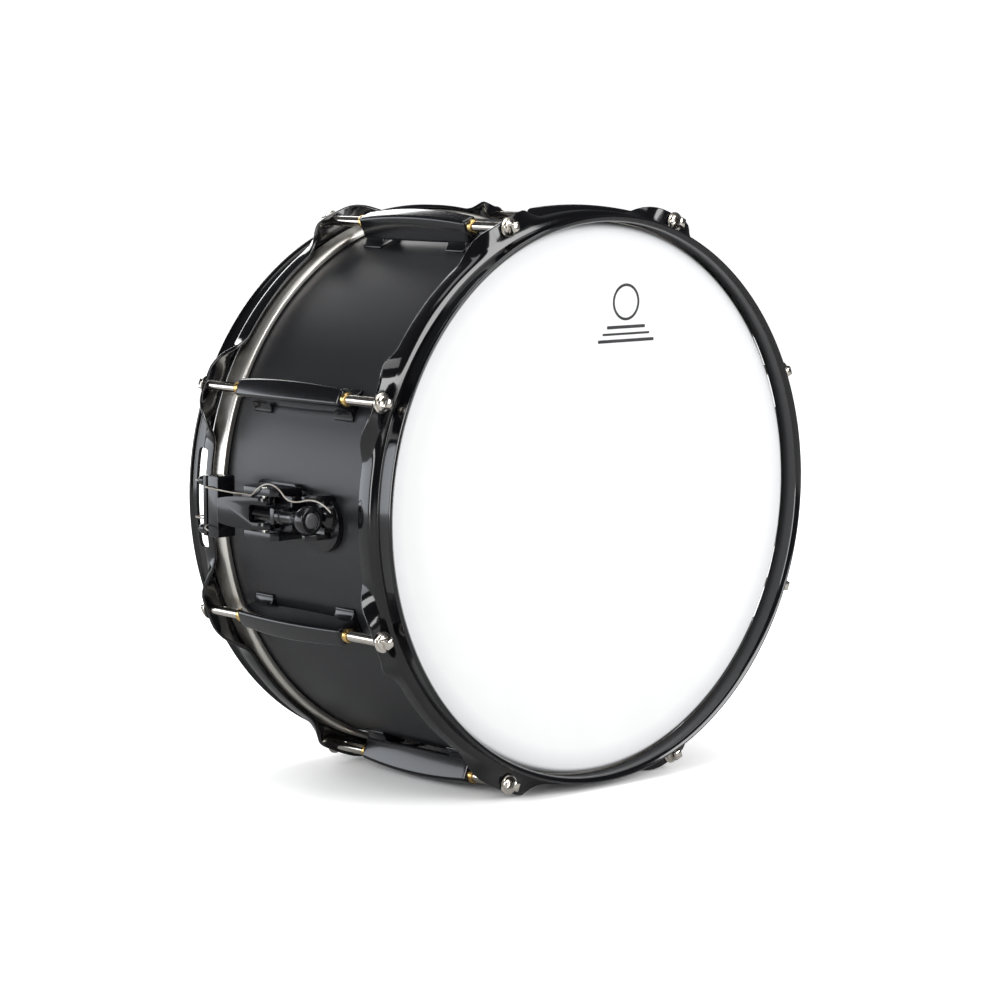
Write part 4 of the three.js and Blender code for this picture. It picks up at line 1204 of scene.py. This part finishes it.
# Round-headed screws that stand out past the clamp.
def make_clamp_screws():
    shank, head = 1.8, 3.3
    outline = eased([
        (0, 44.5, 0), (shank, 44.5, 0.2), (shank, CLAMP_HEAD, 0.1), (head, CLAMP_HEAD, 0.3),
        (head, CLAMP_HEAD + 4.4, 0.8), (2.3, CLAMP_HEAD + 6.2, 0.8), (0, CLAMP_HEAD + 6.8, 0),
    ])
    radius, spread = CLAMP_STUD
    for side, name in ((1, "lower"), (-1, "upper")):
        screw = spun(f"clamp_screw_{name}", outline, 36)
        screw.data.transform(Matrix.Translation((radius * MM, 0, side * spread * MM)))
        placed(screw, STRAINER_ANGLE)
        finish_mesh(screw)
        dress(screw, CAST_ENAMEL, "clamp", "gloss_black", f"strainer_clamp_screw_{name}")


# ---------------------------------------------------------------- butt plate


# The butt end's castings and screws keep the shapes of their solids, with rounded edges.
def make_butt_plate():
    for node, name, edge in (("butt_plate", "butt_frame", 0.9), ("butt_clamp", "butt_jaw", 0.6)):
        dress(refined(node, name, edge * MM), CAST_ENAMEL, "drum", "gloss_black", node)
    for node in ("butt_screw_upper", "butt_screw_lower"):
        dress(refined(node, f"{node}_turned", 0.35 * MM), NICKEL, "drum", "nickel_plate", node)


# ---------------------------------------------------------------- snare wires and cords

WIRE_LEVEL = 90.55
STRAND_COUNT = 20
STRAND_PITCH = 2.1
COIL_RADIUS = 0.62
COIL_TURN = 2.2
STRAND_WIRE_RADIUS = 0.22
STEPS_PER_TURN = 8
WIRE_PLATE = (140, 156)
WIRE_PLATE_SIZE = (16, 1.5, 44)
WIRE_PLATE_LEVEL = 90.6
CORD_HOLE_RADIUS = 1.5
CORD_HOLE_SPREAD = 12


# One strand of coiled wire: a helix of straight lengths with a three-sided section.
def model_strand():
    reach = WIRE_PLATE[0] + 4
    count = int(2 * reach / COIL_TURN * STEPS_PER_TURN)
    curve = bpy.data.curves.new("strand", "CURVE")
    curve.dimensions = "3D"
    curve.bevel_depth = STRAND_WIRE_RADIUS * MM
    curve.bevel_resolution = 0
    spline = curve.splines.new("POLY")
    spline.points.add(count)
    for i in range(count + 1):
        turn = 2 * math.pi * i / STEPS_PER_TURN
        across = -reach + 2 * reach * i / count
        level = WIRE_LEVEL + COIL_RADIUS * math.cos(turn)
        spline.points[i].co = (across * MM, level * MM, COIL_RADIUS * math.sin(turn) * MM, 1)
    strand = bpy.data.objects.new("strand", curve)
    bpy.context.scene.collection.objects.link(strand)
    take(strand)
    bpy.ops.object.convert(target="MESH")
    return bpy.context.object


# Twenty strands side by side, held at each end by a flat plate with two holes for the cords.
def make_snare_wires():
    strand = model_strand()
    strands = []
    for i in range(STRAND_COUNT):
        copy = copied(strand, f"strand_{i}")
        copy.data.transform(Matrix.Translation((0, 0, (i - (STRAND_COUNT - 1) / 2) * STRAND_PITCH * MM)))
        strands.append(copy)
    bpy.data.objects.remove(strand)
    coils = joined(*strands)
    coils.name = "coiled_strands"
    placed(coils, 0)
    finish_mesh(coils, 60)
    dress(coils, WIRE_STEEL, "wires", "wire_steel", "snare_wires")
    middle = (WIRE_PLATE[0] + WIRE_PLATE[1]) / 2
    for side, name in ((-1, "strainer"), (1, "butt")):
        size = [length * MM for length in WIRE_PLATE_SIZE]
        plate = block(f"{name}_end_plate", size, (side * middle * MM, WIRE_PLATE_LEVEL * MM, 0))
        holes = []
        for spread in (-CORD_HOLE_SPREAD, CORD_HOLE_SPREAD):
            centre = (side * (middle + 3) * MM, WIRE_PLATE_LEVEL * MM, spread * MM)
            holes.append(bar("cord_hole", CORD_HOLE_RADIUS * MM, 6 * MM, centre))
        cut_away(plate, *holes)
        soften_edges(plate, 0.35 * MM, 2, 50)
        placed(plate, 0)
        finish_mesh(plate)
        dress(plate, WIRE_STEEL, "wires", "wire_steel")


# Each cord follows its solid's route, rounded to a smooth tube.
def make_cords():
    for node, name, body in (
        ("strainer_cord_loop", "wire_cord_loop", "wires"),
        ("strainer_cord_upper", "clamped_cord_upper", "clamp"),
        ("strainer_cord_lower", "clamped_cord_lower", "clamp"),
        ("butt_cord", "butt_cord_braided", "drum"),
    ):
        cord = merged(node, name, SPUN_MERGE)
        bpy.ops.mesh.tris_convert_to_quads()
        bpy.ops.object.mode_set(mode="OBJECT")
        rounding = cord.modifiers.new("round_cord", "SUBSURF")
        rounding.levels = 2
        rounding.render_levels = 2
        apply_modifiers(cord)
        finish_mesh(cord, 60)
        dress(cord, CORD, body, "snare_cord", node)


make_camera()
make_lights()
make_backdrop()
make_floor()
make_shell()
make_vent_grommet()
make_head("struck_film", "batter_head", True, STRUCK_EDGE, COATED_FILM, "coated_film")
make_head("snare_side_film", "snare_side_head", False, SNARE_SIDE_EDGE, CLEAR_FILM, "clear_film")
make_flesh_hoop("struck_film_hoop", "batter_flesh_hoop", True, STRUCK_EDGE)
make_flesh_hoop("snare_side_film_hoop", "snare_side_flesh_hoop", False, SNARE_SIDE_EDGE)
make_printed_mark()
make_counter_hoop("struck_counter_hoop", "batter_hoop", True, False)
make_counter_hoop("snare_side_counter_hoop", "snare_side_hoop", False, True)
make_lugs_and_rods()
make_strainer()
make_knob()
make_adjusting_screw()
make_clamp_screws()
make_butt_plate()
make_snare_wires()
make_cords()

bpy.context.scene.view_settings.view_transform = "Standard"
